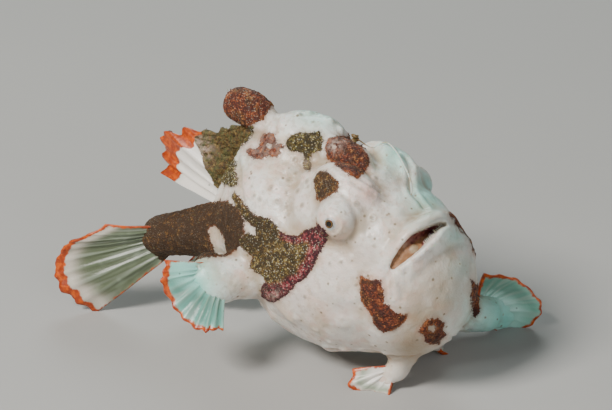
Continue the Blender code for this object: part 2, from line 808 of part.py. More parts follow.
def finish_node(name, item):
    """Name a node, give it its finish and put it with the parts."""
    item.name = name
    item.data.name = name
    bm = bmesh.new()
    bm.from_mesh(item.data)
    bmesh.ops.triangulate(bm, faces=bm.faces)
    bmesh.ops.dissolve_degenerate(bm, dist=MERGE / 10, edges=bm.edges)
    bm.to_mesh(item.data)
    bm.free()
    item.display_type = "TEXTURED"
    item.hide_render = False
    TOOLS.objects.unlink(item)
    PARTS.objects.link(item)
    kind = NODE_COLOURS.get(name, "fin" if "_fin" in name else "skin")
    colour, roughness = COLOURS[kind]
    item.data.materials.clear()
    item.data.materials.append(material(name + "_finish", colour, roughness))


def centre_on_origin(nodes):
    """Move all nodes so that the middle of their box stands over the origin."""
    corners = [corner.co for item in nodes.values() for corner in item.data.vertices]
    low = [min(c[axis] for c in corners) for axis in range(3)]
    high = [max(c[axis] for c in corners) for axis in range(3)]
    SHIFT.xyz = (-(low[0] + high[0]) / 2, -(low[1] + high[1]) / 2, -low[2])
    for item in nodes.values():
        item.data.transform(Matrix.Translation(SHIFT))


def main():
    """Build every node of the fish."""
    global PARTS, TOOLS
    clear_scene()
    PARTS = new_collection("frogfish")
    TOOLS = new_collection("cutters")
    whole = make_whole()
    uncut = bpy.data.objects.new("uncut", whole.data.copy())
    TOOLS.objects.link(uncut)
    nodes, trunk = make_limbs(whole)
    nodes.update(make_trunk(trunk))
    nodes.update(make_spines(uncut))
    nodes.update(make_fins(uncut))
    clear_of(nodes["soft_dorsal_fin"], nodes["third_dorsal_spine"])
    for side, name in ((RIGHT, "eye_right"), (LEFT, "eye_left")):
        nodes[name] = ball(name, eye_centre(side), EYE_RADIUS)
    discard([uncut, whole])
    centre_on_origin(nodes)
    for name, item in nodes.items():
        finish_node(name, item)


if __name__ == "__main__":
    main()
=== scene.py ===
"""Looks of a life-size warty frogfish: one skin with raised patches, fins, eyes, mouth and lure.

Sizes are millimetres in the fish's own frame, unless a name says otherwise: X points to the
snout, Y to the fish's left and Z up, with the floor at Z = 0. Frame moves them to where the
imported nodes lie.
"""
import logging
import math
import random
from dataclasses import dataclass, field
from enum import Enum

import bmesh
import bpy
import numpy as np
from mathutils import Matrix, Vector, noise
from mathutils.bvhtree import BVHTree
from mathutils.kdtree import KDTree


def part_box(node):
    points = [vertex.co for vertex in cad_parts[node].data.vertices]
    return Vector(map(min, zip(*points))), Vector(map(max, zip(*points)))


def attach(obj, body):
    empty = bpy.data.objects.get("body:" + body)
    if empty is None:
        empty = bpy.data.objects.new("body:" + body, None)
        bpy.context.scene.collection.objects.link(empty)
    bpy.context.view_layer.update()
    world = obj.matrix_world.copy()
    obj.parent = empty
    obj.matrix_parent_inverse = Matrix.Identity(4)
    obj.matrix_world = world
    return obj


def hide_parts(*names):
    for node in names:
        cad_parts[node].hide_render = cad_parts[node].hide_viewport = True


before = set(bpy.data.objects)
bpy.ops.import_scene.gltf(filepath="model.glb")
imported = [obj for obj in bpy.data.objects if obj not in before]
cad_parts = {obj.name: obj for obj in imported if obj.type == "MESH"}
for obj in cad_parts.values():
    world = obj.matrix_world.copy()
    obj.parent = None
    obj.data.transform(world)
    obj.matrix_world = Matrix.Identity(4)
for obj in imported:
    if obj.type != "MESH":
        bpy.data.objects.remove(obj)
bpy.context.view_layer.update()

MM = 0.001
BODY = "root"
RIGHT = -1
LEFT = 1
log = logging.getLogger("frogfish")


class Slot(Enum):
    """The record's material slots."""

    SKIN = "skin"
    PATCH = "scab_patch"
    FIN = "fin_membrane"
    EYE = "eye"
    LURE = "lure"
    MOUTH = "mouth"


class Kind(Enum):
    """The colours that a raised patch comes in, and their places in the paint."""

    RUST = 0
    OLIVE = 1
    MAROON = 2
    BROWN = 3


@dataclass
class Frame:
    """Moves the fish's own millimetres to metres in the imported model's frame."""

    right_eye: Vector = field(default_factory=lambda: Vector((22.508, -13.895, 36.142)))
    shift: Vector = field(init=False)

    def __post_init__(self) -> None:
        """Find the shift from where the right eye was packed."""
        low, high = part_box("eye_right")
        middle = (Vector(low) + Vector(high)) / (2.0 * MM)
        self.shift = middle - self.right_eye
        self.shift.z = 0.0

    def place(self, values: object) -> Vector:
        """Give the place in metres of three of the fish's millimetres."""
        return (Vector(values) + self.shift) * MM

    def own(self, places: np.ndarray) -> np.ndarray:
        """Give rows of metres as the fish's own millimetres."""
        return places / MM - np.array(self.shift)


@dataclass
class Sight:
    """The camera, and how places in the fish's frame fall on a picture of 612 x 410."""

    azimuth: float = -50.0
    elevation: float = 25.0
    target: Vector = field(default_factory=lambda: Vector((7.0, -3.0, 31.0)))
    distance: float = 420.0
    pixels_per_mm: float = 5.2
    width: float = 612.0
    height: float = 410.0
    sensor: float = 36.0

    def __post_init__(self) -> None:
        """Work out the directions towards the camera, to its right and up."""
        a = math.radians(self.azimuth)
        e = math.radians(self.elevation)
        self.back = Vector((math.cos(e) * math.cos(a), math.cos(e) * math.sin(a), math.sin(e)))
        self.right = Vector((0.0, 0.0, 1.0)).cross(self.back).normalized()
        self.up = self.back.cross(self.right)
        self.eye = self.target + self.back * self.distance
        self.focal = self.pixels_per_mm * self.distance

    def picture(self, places: np.ndarray) -> np.ndarray:
        """Give the picture points of rows of places.

        Args:
            places: Rows of places in the fish's frame.

        Returns:
            Rows of pixels, counted from the picture's upper left corner.
        """
        away = places - np.array(self.eye)
        depth = -(away @ np.array(self.back))
        across = self.width / 2 + self.focal * (away @ np.array(self.right)) / depth
        down = self.height / 2 - self.focal * (away @ np.array(self.up)) / depth
        return np.column_stack((across, down))

    def ray(self, across: float, down: float) -> Vector:
        """Give the direction from the camera through a picture point."""
        return (self.right * (across - self.width / 2) / self.focal
                + self.up * (self.height / 2 - down) / self.focal - self.back).normalized()

    def make_camera(self, own: Frame) -> bpy.types.Object:
        """Make the scene's camera.

        Args:
            own: The frame that places it.

        Returns:
            The camera object.
        """
        data = bpy.data.cameras.new("camera")
        data.sensor_width = self.sensor
        data.lens = self.sensor * self.focal / self.width
        data.clip_start = 0.01
        data.clip_end = 20.0
        camera = bpy.data.objects.new("camera", data)
        axes = Matrix((self.right, self.up, self.back)).transposed().to_4x4()
        camera.matrix_world = Matrix.Translation(own.place(self.eye)) @ axes
        bpy.context.scene.collection.objects.link(camera)
        bpy.context.scene.camera = camera
        return camera


OWN = Frame()
SIGHT = Sight()


def along(places: object, t: float) -> Vector:
    """Give a place on a smooth line through a few places.

    Args:
        places: The places that the line goes through.
        t: How far along it, from 0 to 1.

    Returns:
        The place.
    """
    last = len(places) - 1
    step = max(0, min(int(t * last), last - 1))
    f = t * last - step
    p = [Vector(places[max(0, min(last, step + k))]) for k in (-1, 0, 1, 2)]
    if step == 0:
        p[0] = 2 * p[1] - p[2]
    if step == last - 1:
        p[3] = 2 * p[2] - p[1]
    return 0.5 * (2 * p[1] + (p[2] - p[0]) * f + (2 * p[0] - 5 * p[1] + 4 * p[2] - p[3]) * f * f
                  + (3 * p[1] - p[0] - 3 * p[2] + p[3]) * f ** 3)


def ease(values: np.ndarray, low: float, high: float) -> np.ndarray:
    """Give 0 below low, 1 above high and a smooth rise between them."""
    t = np.clip((values - low) / (high - low), 0.0, 1.0)
    return t * t * (3.0 - 2.0 * t)


def how_far_inside(points: np.ndarray, outline: object) -> np.ndarray:
    """Give how far picture points lie inside an outline.

    Args:
        points: Rows of pixels.
        outline: The outline's corners in pixels.

    Returns:
        Pixels to the nearest edge, negative outside.
    """
    corners = np.array(outline, float)
    nearest = np.full(len(points), 1e9)
    inside = np.zeros(len(points), bool)
    for start, end in zip(corners, np.roll(corners, -1, axis=0)):
        edge = end - start
        away = points - start
        t = np.clip((away @ edge) / (edge @ edge), 0.0, 1.0)
        nearest = np.minimum(nearest, np.linalg.norm(away - t[:, None] * edge, axis=1))
        crosses = (start[1] > points[:, 1]) != (end[1] > points[:, 1])
        rise = edge[1] if abs(edge[1]) > 1e-9 else 1e-9
        inside ^= crosses & (points[:, 0] < edge[0] * (points[:, 1] - start[1]) / rise + start[0])
    return np.where(inside, nearest, -nearest)


def distance_to_line(points: np.ndarray, line: object) -> np.ndarray:
    """Give how far rows of points lie from a line of straight stretches."""
    nearest = np.full(len(points), 1e9)
    stops = np.array(line, float)
    for start, end in zip(stops[:-1], stops[1:]):
        edge = end - start
        away = points - start
        t = np.clip((away @ edge) / (edge @ edge), 0.0, 1.0)
        nearest = np.minimum(nearest, np.linalg.norm(away - t[:, None] * edge, axis=1))
    return nearest


def glow(points: np.ndarray, marks: tuple) -> np.ndarray:
    """Give soft round marks: each has a place and a radius in pixels, and a strength."""
    shade = np.zeros(len(points))
    for across, down, radius, strength in marks:
        away = np.hypot(points[:, 0] - across, points[:, 1] - down)
        shade = np.maximum(shade, strength * np.exp(-(away / radius) ** 2))
    return shade


def rough(places: np.ndarray, size: float, seed: float, octaves: int = 2) -> np.ndarray:
    """Give smooth random values from about -1 to 1 over places.

    Args:
        places: Rows of places in millimetres.
        size: How many millimetres a lump of the pattern spans.
        seed: A shift that makes each pattern its own.
        octaves: How many finer layers it has.

    Returns:
        A value for each place.
    """
    lookup = (places / size + seed).tolist()
    return np.array([noise.fractal(p, 1.0, 2.0, octaves) for p in lookup])


def piece_from(bm: bmesh.types.BMesh, name: str, finish: bpy.types.Material, slot: Slot,
               stands_for: tuple = (), smooth: bool = True) -> bpy.types.Object:
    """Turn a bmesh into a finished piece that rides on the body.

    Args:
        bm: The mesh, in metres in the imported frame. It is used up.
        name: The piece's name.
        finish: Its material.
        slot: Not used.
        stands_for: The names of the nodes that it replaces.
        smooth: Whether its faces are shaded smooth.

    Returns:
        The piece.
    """
    mesh = bpy.data.meshes.new(name)
    bm.to_mesh(mesh)
    bm.free()
    return piece_of(mesh, name, finish, slot, stands_for, smooth)


def piece_of(mesh: bpy.types.Mesh, name: str, finish: bpy.types.Material, slot: Slot,
             stands_for: tuple = (), smooth: bool = True) -> bpy.types.Object:
    """Turn a mesh into a finished piece that rides on the body, as piece_from does."""
    mesh.polygons.foreach_set("use_smooth", np.full(len(mesh.polygons), smooth))
    mesh.materials.clear()
    mesh.materials.append(finish)
    piece = bpy.data.objects.new(name, mesh)
    bpy.context.scene.collection.objects.link(piece)
    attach(piece, BODY)
    if stands_for:
        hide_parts(*stands_for)
    log.info("%s: %d faces", name, len(mesh.polygons))
    return piece


def evaluated(item: bpy.types.Object) -> bpy.types.Mesh:
    """Give the mesh that an object's modifiers make, and remove the object."""
    graph = bpy.context.evaluated_depsgraph_get()
    mesh = bpy.data.meshes.new_from_object(item.evaluated_get(graph))
    bpy.data.objects.remove(item, do_unlink=True)
    return mesh


def set_values(mesh: bpy.types.Mesh, name: str, values: np.ndarray) -> None:
    """Store one number for each corner point of a mesh, for its finish to read."""
    layer = mesh.attributes.new(name, "FLOAT", "POINT")
    layer.data.foreach_set("value", np.asarray(values, dtype=np.float32))


class Nodes:
    """A material's node tree, with short calls that add nodes and join them."""

    def __init__(self, name: str) -> None:
        """Start a material with its shader and the object's own coordinates."""
        self.material = bpy.data.materials.new(name)
        self.material.use_nodes = True
        self.tree = self.material.node_tree
        self.shader = self.tree.nodes["Principled BSDF"]
        self.coordinates = self.tree.nodes.new("ShaderNodeTexCoord").outputs["Object"]

    def add(self, kind: str, settings: dict, inputs: dict) -> bpy.types.Node:
        """Add a node.

        Args:
            kind: The node's type, without its ShaderNode prefix.
            settings: Its properties.
            inputs: Numbers, colours or sockets for its inputs, by name or place.

        Returns:
            The node.
        """
        node = self.tree.nodes.new("ShaderNode" + kind)
        for name, value in settings.items():
            setattr(node, name, value)
        for name, value in inputs.items():
            self.feed(node.inputs[name], value)
        return node

    def feed(self, socket: bpy.types.NodeSocket, value: object) -> None:
        """Join a socket to another, or give it a number or colour."""
        if isinstance(value, bpy.types.NodeSocket):
            self.tree.links.new(value, socket)
        elif isinstance(value, tuple) and len(value) == 3 and socket.type == "RGBA":
            socket.default_value = (*value, 1.0)
        else:
            socket.default_value = value

    def value(self, name: str) -> bpy.types.NodeSocket:
        """Give the numbers stored on the mesh under a name."""
        return self.add("Attribute", {"attribute_name": name}, {}).outputs["Fac"]

    def noise(self, size: float, detail: float = 3.0, roughness: float = 0.55,
              distortion: float = 0.0) -> bpy.types.NodeSocket:
        """Give noise whose lumps span a size in millimetres."""
        return self.add("TexNoise", {}, {
            "Vector": self.coordinates, "Scale": 1.0 / (size * MM), "Detail": detail,
            "Roughness": roughness, "Distortion": distortion}).outputs["Fac"]

    def cells(self, size: float, feature: str = "F1") -> bpy.types.Node:
        """Give a node of cells that span a size in millimetres."""
        return self.add("TexVoronoi", {"feature": feature}, {
            "Vector": self.coordinates, "Scale": 1.0 / (size * MM)})

    def math(self, operation: str, *values: object) -> bpy.types.NodeSocket:
        """Give the result of a sum on numbers."""
        return self.add("Math", {"operation": operation}, dict(enumerate(values))).outputs[0]

    def step(self, value: object, low: float, high: float, start: float = 0.0,
             end: float = 1.0) -> bpy.types.NodeSocket:
        """Give a smooth step of a number between two ends."""
        node = self.add("MapRange", {"interpolation_type": "SMOOTHSTEP"}, {
            "Value": value, "From Min": low, "From Max": high, "To Min": start, "To Max": end})
        return node.outputs["Result"]

    def mix(self, share: object, first: object, second: object,
            blend: str = "MIX") -> bpy.types.NodeSocket:
        """Give a mix of two colours."""
        node = self.add("Mix", {"data_type": "RGBA", "blend_type": blend}, {0: share})
        self.feed(node.inputs[6], first)
        self.feed(node.inputs[7], second)
        return node.outputs[2]

    def ramp(self, value: object, *stops: tuple) -> bpy.types.NodeSocket:
        """Give a colour ramp, each stop a place and a colour."""
        node = self.add("ValToRGB", {}, {"Fac": value})
        points = node.color_ramp.elements
        while len(points) < len(stops):
            points.new(0.5)
        for point, (place, colour) in zip(points, stops):
            point.position = place
            point.color = (*colour, 1.0)
        return node.outputs["Color"]

    def bump(self, height: object, depth: float, under: object = None) -> bpy.types.NodeSocket:
        """Give a bumped normal, with the bump's depth in millimetres."""
        inputs = {"Height": height, "Distance": depth * MM, "Strength": 1.0}
        if under is not None:
            inputs["Normal"] = under
        return self.add("Bump", {}, inputs).outputs["Normal"]

    def finish(self, **inputs: object) -> bpy.types.Material:
        """Set the shader's inputs, with _ for a space, and give the material."""
        for name, value in inputs.items():
            self.feed(self.shader.inputs[name.replace("_", " ")], value)
        return self.material


@dataclass(frozen=True)
class PatchPaint:
    """The colours of the three kinds of raised patch."""

    rust_dark: tuple = (0.055, 0.010, 0.004)
    rust: tuple = (0.18, 0.034, 0.007)
    rust_pale: tuple = (0.50, 0.17, 0.055)
    olive_dark: tuple = (0.034, 0.023, 0.005)
    olive: tuple = (0.125, 0.085, 0.016)
    olive_pale: tuple = (0.42, 0.38, 0.13)
    maroon_dark: tuple = (0.040, 0.004, 0.008)
    maroon: tuple = (0.25, 0.028, 0.040)
    maroon_pale: tuple = (0.62, 0.26, 0.25)
    bleached: tuple = (0.66, 0.50, 0.41)
    dust: tuple = (0.60, 0.58, 0.44)
    algae: tuple = (0.28, 0.30, 0.09)
    olive_share: float = 0.30

    def colour(self, nodes: Nodes, grain: bpy.types.NodeSocket) -> bpy.types.NodeSocket:
        """Give the patches' colour.

        Args:
            nodes: The material that it is made in.
            grain: A number from 0 to 1 that picks dark or pale grains.

        Returns:
            The colour.
        """
        rust = nodes.ramp(grain, (0.12, self.rust_dark), (0.5, self.rust), (0.95, self.rust_pale))
        olive = nodes.ramp(grain, (0.15, self.olive_dark), (0.5, self.olive),
                           (0.95, self.olive_pale))
        maroon = nodes.ramp(grain, (0.15, self.maroon_dark), (0.5, self.maroon),
                            (0.95, self.maroon_pale))
        blotch = nodes.step(nodes.noise(2.6, 2.0), 0.46, 0.62)
        share = nodes.math("MAXIMUM", nodes.value("olive"),
                           nodes.math("MULTIPLY", blotch, self.olive_share))
        paint = nodes.mix(nodes.value("maroon"), nodes.mix(share, rust, olive), maroon)
        faded = nodes.math("MULTIPLY", nodes.step(nodes.noise(0.9, 3.0), 0.34, 0.60),
                           nodes.value("bleach"))
        return nodes.mix(faded, paint, self.bleached)


@dataclass(frozen=True)
class SkinFinish:
    """White moist skin with tints, painted shade, painted bluish-green light, pores and the
    markings of the raised patches.
    """

    white: tuple = (0.85, 0.82, 0.76)
    cream: tuple = (0.70, 0.58, 0.455)
    pink: tuple = (0.78, 0.42, 0.34)
    # A brownish colour: the skin's own tint, the pores' rings and the halos round the patches, and
    # painted shade.
    tan: tuple = (0.35, 0.245, 0.135)
    teal_light: tuple = (0.25, 0.76, 0.66)
    pore: tuple = (0.17, 0.135, 0.07)
    rim: tuple = (0.34, 0.10, 0.022)
    mouth_dark: tuple = (0.13, 0.022, 0.022)
    paint: PatchPaint = PatchPaint()

    def bare(self, n: Nodes) -> bpy.types.NodeSocket:
        """Give the colour of the bare skin, with its tints, painted shade, painted bluish-green
        light and pores.
        """
        base = n.mix(n.step(n.noise(6.0, 3.0), 0.45, 0.72), self.white, self.cream)
        flush = n.math("MULTIPLY", n.step(n.noise(3.2, 4.0), 0.48, 0.64), 0.30)
        base = n.mix(n.math("MAXIMUM", flush, n.value("pink")), base, self.pink)
        freckle = n.math("MULTIPLY", n.step(n.noise(1.1, 3.0), 0.49, 0.62), 0.26)
        # The skin's own brownish tint and freckles, with painted shade where the marks below hold
        # it.
        base = n.mix(n.math("MAXIMUM", freckle, n.value("tan")), base, self.tan)
        # Painted bluish-green light on the skin.
        base = n.mix(n.value("teal_light"), base, self.teal_light)
        # Painted shade in the skin's hollows.
        base = n.mix(n.math("MULTIPLY", n.value("hollow"), 0.55), base, self.tan)
        specks = n.cells(1.7)
        chance = n.add("SeparateColor", {}, {0: specks.outputs["Color"]}).outputs[0]
        size = n.math("MULTIPLY_ADD", chance, 0.13, 0.02)
        speck = n.math("LESS_THAN", specks.outputs["Distance"], size)
        ring = n.step(n.math("SUBTRACT", specks.outputs["Distance"], size), 0.10, 0.02)
        often = n.step(chance, 0.42, 0.46)
        base = n.mix(n.math("MULTIPLY", n.math("MULTIPLY", ring, often), 0.42), base, self.tan)
        base = n.mix(n.math("MULTIPLY", n.math("MULTIPLY", speck, often), 0.70), base, self.pore)
        base = n.mix(n.value("pore"), base, self.pore)
        return n.mix(n.value("mouth"), base, self.mouth_dark)

    def make(self) -> bpy.types.Material:
        """Make the material."""
        n = Nodes("skin")
        base = self.bare(n)
        ragged = n.math("MULTIPLY", n.math("SUBTRACT", n.noise(0.9, 4.0, 0.6), 0.5), 1.0)
        crumbled = n.math("MULTIPLY", n.math("SUBTRACT", n.noise(0.22, 2.0), 0.5), 0.9)
        edge = n.math("ADD", n.math("ADD", n.value("patch"), ragged), crumbled)
        grains = n.cells(0.31)
        red, random_grain, blue = n.add("SeparateColor", {}, {0: grains.outputs["Color"]}).outputs
        blotches = n.step(n.noise(1.2, 4.0, 0.65), 0.28, 0.74)
        grain = n.math("MULTIPLY_ADD", blotches, 0.80, -0.08)
        grain = n.math("ADD", grain, n.value("pale"))
        speckle = n.math("MULTIPLY", n.math("SUBTRACT", random_grain, 0.45), 0.60)
        grain = n.math("ADD", grain, speckle)
        grain = n.math("MULTIPLY_ADD", grains.outputs["Distance"], -0.40,
                       n.math("ADD", grain, 0.14))
        crust = self.paint.colour(n, grain)
        dots = n.math("MULTIPLY", n.step(grains.outputs["Distance"], 0.50, 0.30),
                      n.step(blue, 0.66, 0.76))
        crust = n.mix(n.math("MULTIPLY", dots, n.value("fuzz")), crust, self.paint.dust)
        orange = n.math("MULTIPLY", n.step(edge, 0.50, 0.20), n.step(n.noise(4.0), 0.42, 0.62))
        orange = n.math("MULTIPLY", orange, n.math("SUBTRACT", 0.8, n.value("maroon")))
        orange = n.math("MULTIPLY", orange, n.math("SUBTRACT", 1.0, n.value("olive")))
        crust = n.mix(orange, crust, self.rim)
        crust = n.mix(n.math("MULTIPLY", n.step(edge, 1.0, 0.15), n.value("maroon")), crust,
                      self.paint.maroon_dark)
        crust = n.mix(n.math("MULTIPLY", n.step(edge, 0.24, 0.02), 0.6), crust,
                      self.paint.rust_dark)
        mask = n.step(edge, -0.08, 0.12)
        halo = n.math("MULTIPLY", n.step(edge, -1.0, 0.1), 0.34)
        colour = n.mix(mask, n.mix(halo, base, n.mix(n.value("olive"), self.rim, self.tan)), crust)
        fine = n.math("ADD", n.math("MULTIPLY", n.noise(0.35, 4.0, 0.6), 0.65),
                      n.math("MULTIPLY", n.noise(1.4, 3.0), 1.3))
        crumbs = n.math("MULTIPLY", n.math("MULTIPLY", grains.outputs["Distance"], -1.9), mask)
        normal = n.bump(n.math("ADD", fine, crumbs), 0.11)
        shine = n.math("MULTIPLY_ADD", n.noise(1.8, 3.0), 0.30, 0.24)
        return n.finish(Base_Color=colour, Roughness=n.math("MULTIPLY_ADD", mask, 0.34, shine),
                        Normal=normal, Coat_Weight=n.math("MULTIPLY_ADD", mask, -0.20, 0.22),
                        Coat_Roughness=0.20,
                        Subsurface_Weight=0.25, Subsurface_Scale=0.0011,
                        Subsurface_Radius=(1.0, 0.50, 0.36))


@dataclass(frozen=True)
class GrainFinish:
    """Rough grains of the patches, each with its own shade."""

    paint: PatchPaint = PatchPaint()

    def make(self) -> bpy.types.Material:
        """Make the material."""
        n = Nodes("patch_grains")
        grain = n.math("MULTIPLY_ADD", n.step(n.noise(1.6, 4.0, 0.6), 0.30, 0.72), 0.60,
                       n.math("MULTIPLY_ADD", n.value("shade"), 0.45, -0.10))
        grain = n.math("ADD", grain, n.value("pale"))
        colour = self.paint.colour(n, grain)
        green = n.math("MULTIPLY", n.value("algae"), 0.8)
        return n.finish(Base_Color=n.mix(green, colour, self.paint.algae), Roughness=0.7)


@dataclass(frozen=True)
class FuzzFinish:
    """Thin growth of algae on the patches."""

    root: tuple = (0.10, 0.075, 0.025)
    tip: tuple = (0.36, 0.40, 0.17)

    def make(self) -> bpy.types.Material:
        """Make the material."""
        n = Nodes("patch_fuzz")
        share = n.math("MULTIPLY", n.value("out"), n.value("shade"))
        return n.finish(Base_Color=n.mix(share, self.root, self.tip), Roughness=0.7)


@dataclass(frozen=True)
class FinFinish:
    """Thin pale membrane over thicker rays, with an orange margin, painted shade on the web and
    the rays, and painted bluish-green light.
    """

    skin: tuple = (0.84, 0.80, 0.735)
    # The bluish-green colours here are painted light on the fins' flesh and web.
    teal_light: tuple = (0.26, 0.70, 0.60)
    ray: tuple = (0.72, 0.77, 0.71)
    # The dark ray colour and both shade colours below are painted shade on the rays and the web.
    dark_ray: tuple = (0.17, 0.23, 0.13)
    membrane: tuple = (0.34, 0.42, 0.30)
    teal_lit_membrane: tuple = (0.24, 0.64, 0.55)
    shade: tuple = (0.105, 0.130, 0.072)
    teal_lit_shade: tuple = (0.05, 0.18, 0.14)
    blush: tuple = (0.76, 0.66, 0.59)
    orange: tuple = (0.62, 0.10, 0.002)
    dark_orange: tuple = (0.34, 0.040, 0.002)
    pore: tuple = (0.10, 0.15, 0.11)
    moss: tuple = (0.060, 0.085, 0.026)
    paint: PatchPaint = PatchPaint()

    def make(self) -> bpy.types.Material:
        """Make the material."""
        n = Nodes("fin")
        # Painted shade on the web and the rays, mottled and streaked.
        painted_web_shade = n.math("MULTIPLY", n.value("painted_web_shade"), n.step(n.noise(5.0, 2.0), 0.05, 0.50))
        painted_web_shade = n.math("MULTIPLY", painted_web_shade, n.math("MULTIPLY_ADD", n.value("streak"), 0.45, 0.62))
        # Painted bluish-green light on the web and the fleshy root, as much as the fin's share
        # says.
        teal_light = n.value("teal_light")
        web = n.mix(painted_web_shade, n.mix(teal_light, self.membrane, self.teal_lit_membrane),
                    n.mix(teal_light, self.shade, self.teal_lit_shade))
        web = n.mix(n.math("MULTIPLY", n.step(n.value("streak"), 0.45, 0.85), 0.22), web,
                    self.ray)
        colour = n.mix(n.math("MULTIPLY", n.step(n.value("ridge"), 0.10, 1.0), 0.55), web,
                       n.mix(painted_web_shade, self.ray, self.dark_ray))
        colour = n.mix(n.value("blush"), colour, self.blush)
        colour = n.mix(n.value("flesh"), colour, n.mix(teal_light, self.skin, self.teal_light))
        specks = n.cells(2.1)
        chance = n.add("SeparateColor", {}, {0: specks.outputs["Color"]}).outputs[0]
        speck = n.math("MULTIPLY", n.step(specks.outputs["Distance"], 0.12, 0.07),
                       n.step(chance, 0.76, 0.80))
        colour = n.mix(n.math("MULTIPLY", speck, 0.6), colour, self.pore)
        ragged = n.math("MULTIPLY", n.math("SUBTRACT", n.noise(1.3, 4.0, 0.6), 0.5), 1.6)
        edge = n.math("ADD", n.value("margin"), ragged)
        rim = n.mix(n.step(n.noise(1.0, 3.0), 0.4, 0.65), self.dark_orange, self.orange)
        colour = n.mix(n.step(edge, 0.30, -0.15), colour, rim)
        grain = n.math("MULTIPLY_ADD", n.noise(0.7, 4.0, 0.7), 2.1, -0.58)
        grain = n.math("ADD", grain, n.value("pale"))
        moss = n.math("MULTIPLY", n.step(n.noise(1.6, 4.0, 0.7), 0.44, 0.60), n.value("olive"))
        crust = n.mix(n.math("MULTIPLY", moss, 0.75), self.paint.colour(n, grain), self.moss)
        scab = n.step(n.math("ADD", n.value("patch"), n.math("MULTIPLY", ragged, 1.6)),
                      -0.15, 0.25)
        colour = n.mix(scab, colour, crust)
        normal = n.bump(n.math("ADD", n.math("MULTIPLY", n.noise(0.4, 3.0), 0.6),
                               n.math("MULTIPLY", n.math("MULTIPLY", grain, scab), 2.0)), 0.09)
        return n.finish(Base_Color=colour, Normal=normal,
                        Roughness=n.math("MULTIPLY_ADD", scab, 0.30, 0.36),
                        Coat_Weight=n.math("MULTIPLY_ADD", scab, -0.15, 0.15),
                        Coat_Roughness=0.2, Subsurface_Weight=0.35, Subsurface_Scale=0.0013,
                        Subsurface_Radius=(0.8, 0.8, 0.7))


def ball_mesh(centre: Vector, radius: float, rings: int = 24) -> bmesh.types.BMesh:
    """Make a round ball.

    Args:
        centre: Its middle, in the fish's millimetres.
        radius: Its radius in millimetres.
        rings: How many rings of faces it has.

    Returns:
        The ball as a bmesh.
    """
    bm = bmesh.new()
    bmesh.ops.create_uvsphere(bm, u_segments=rings * 3 // 2, v_segments=rings,
                              radius=radius * MM, matrix=Matrix.Translation(OWN.place(centre)))
    return bm


@dataclass(frozen=True)
class Patch:
    """A raised patch as it shows from the front right: its kind and its outline in pixels.

    Its grit and fuzz say how thickly loose grains and tufts of algae stand on it.
    """

    name: str
    kind: Kind
    outline: tuple
    grit: float = 0.15
    fuzz: float = 0.0
    hole: tuple = ()
    pale: float = 0.0
    bleach: float = 0.0


@dataclass(frozen=True)
class Spot:
    """A round part of a patch on a side that the camera doesn't see."""

    centre: tuple
    radius: float
    kind: Kind
    grit: float = 0.5
    fuzz: float = 0.2


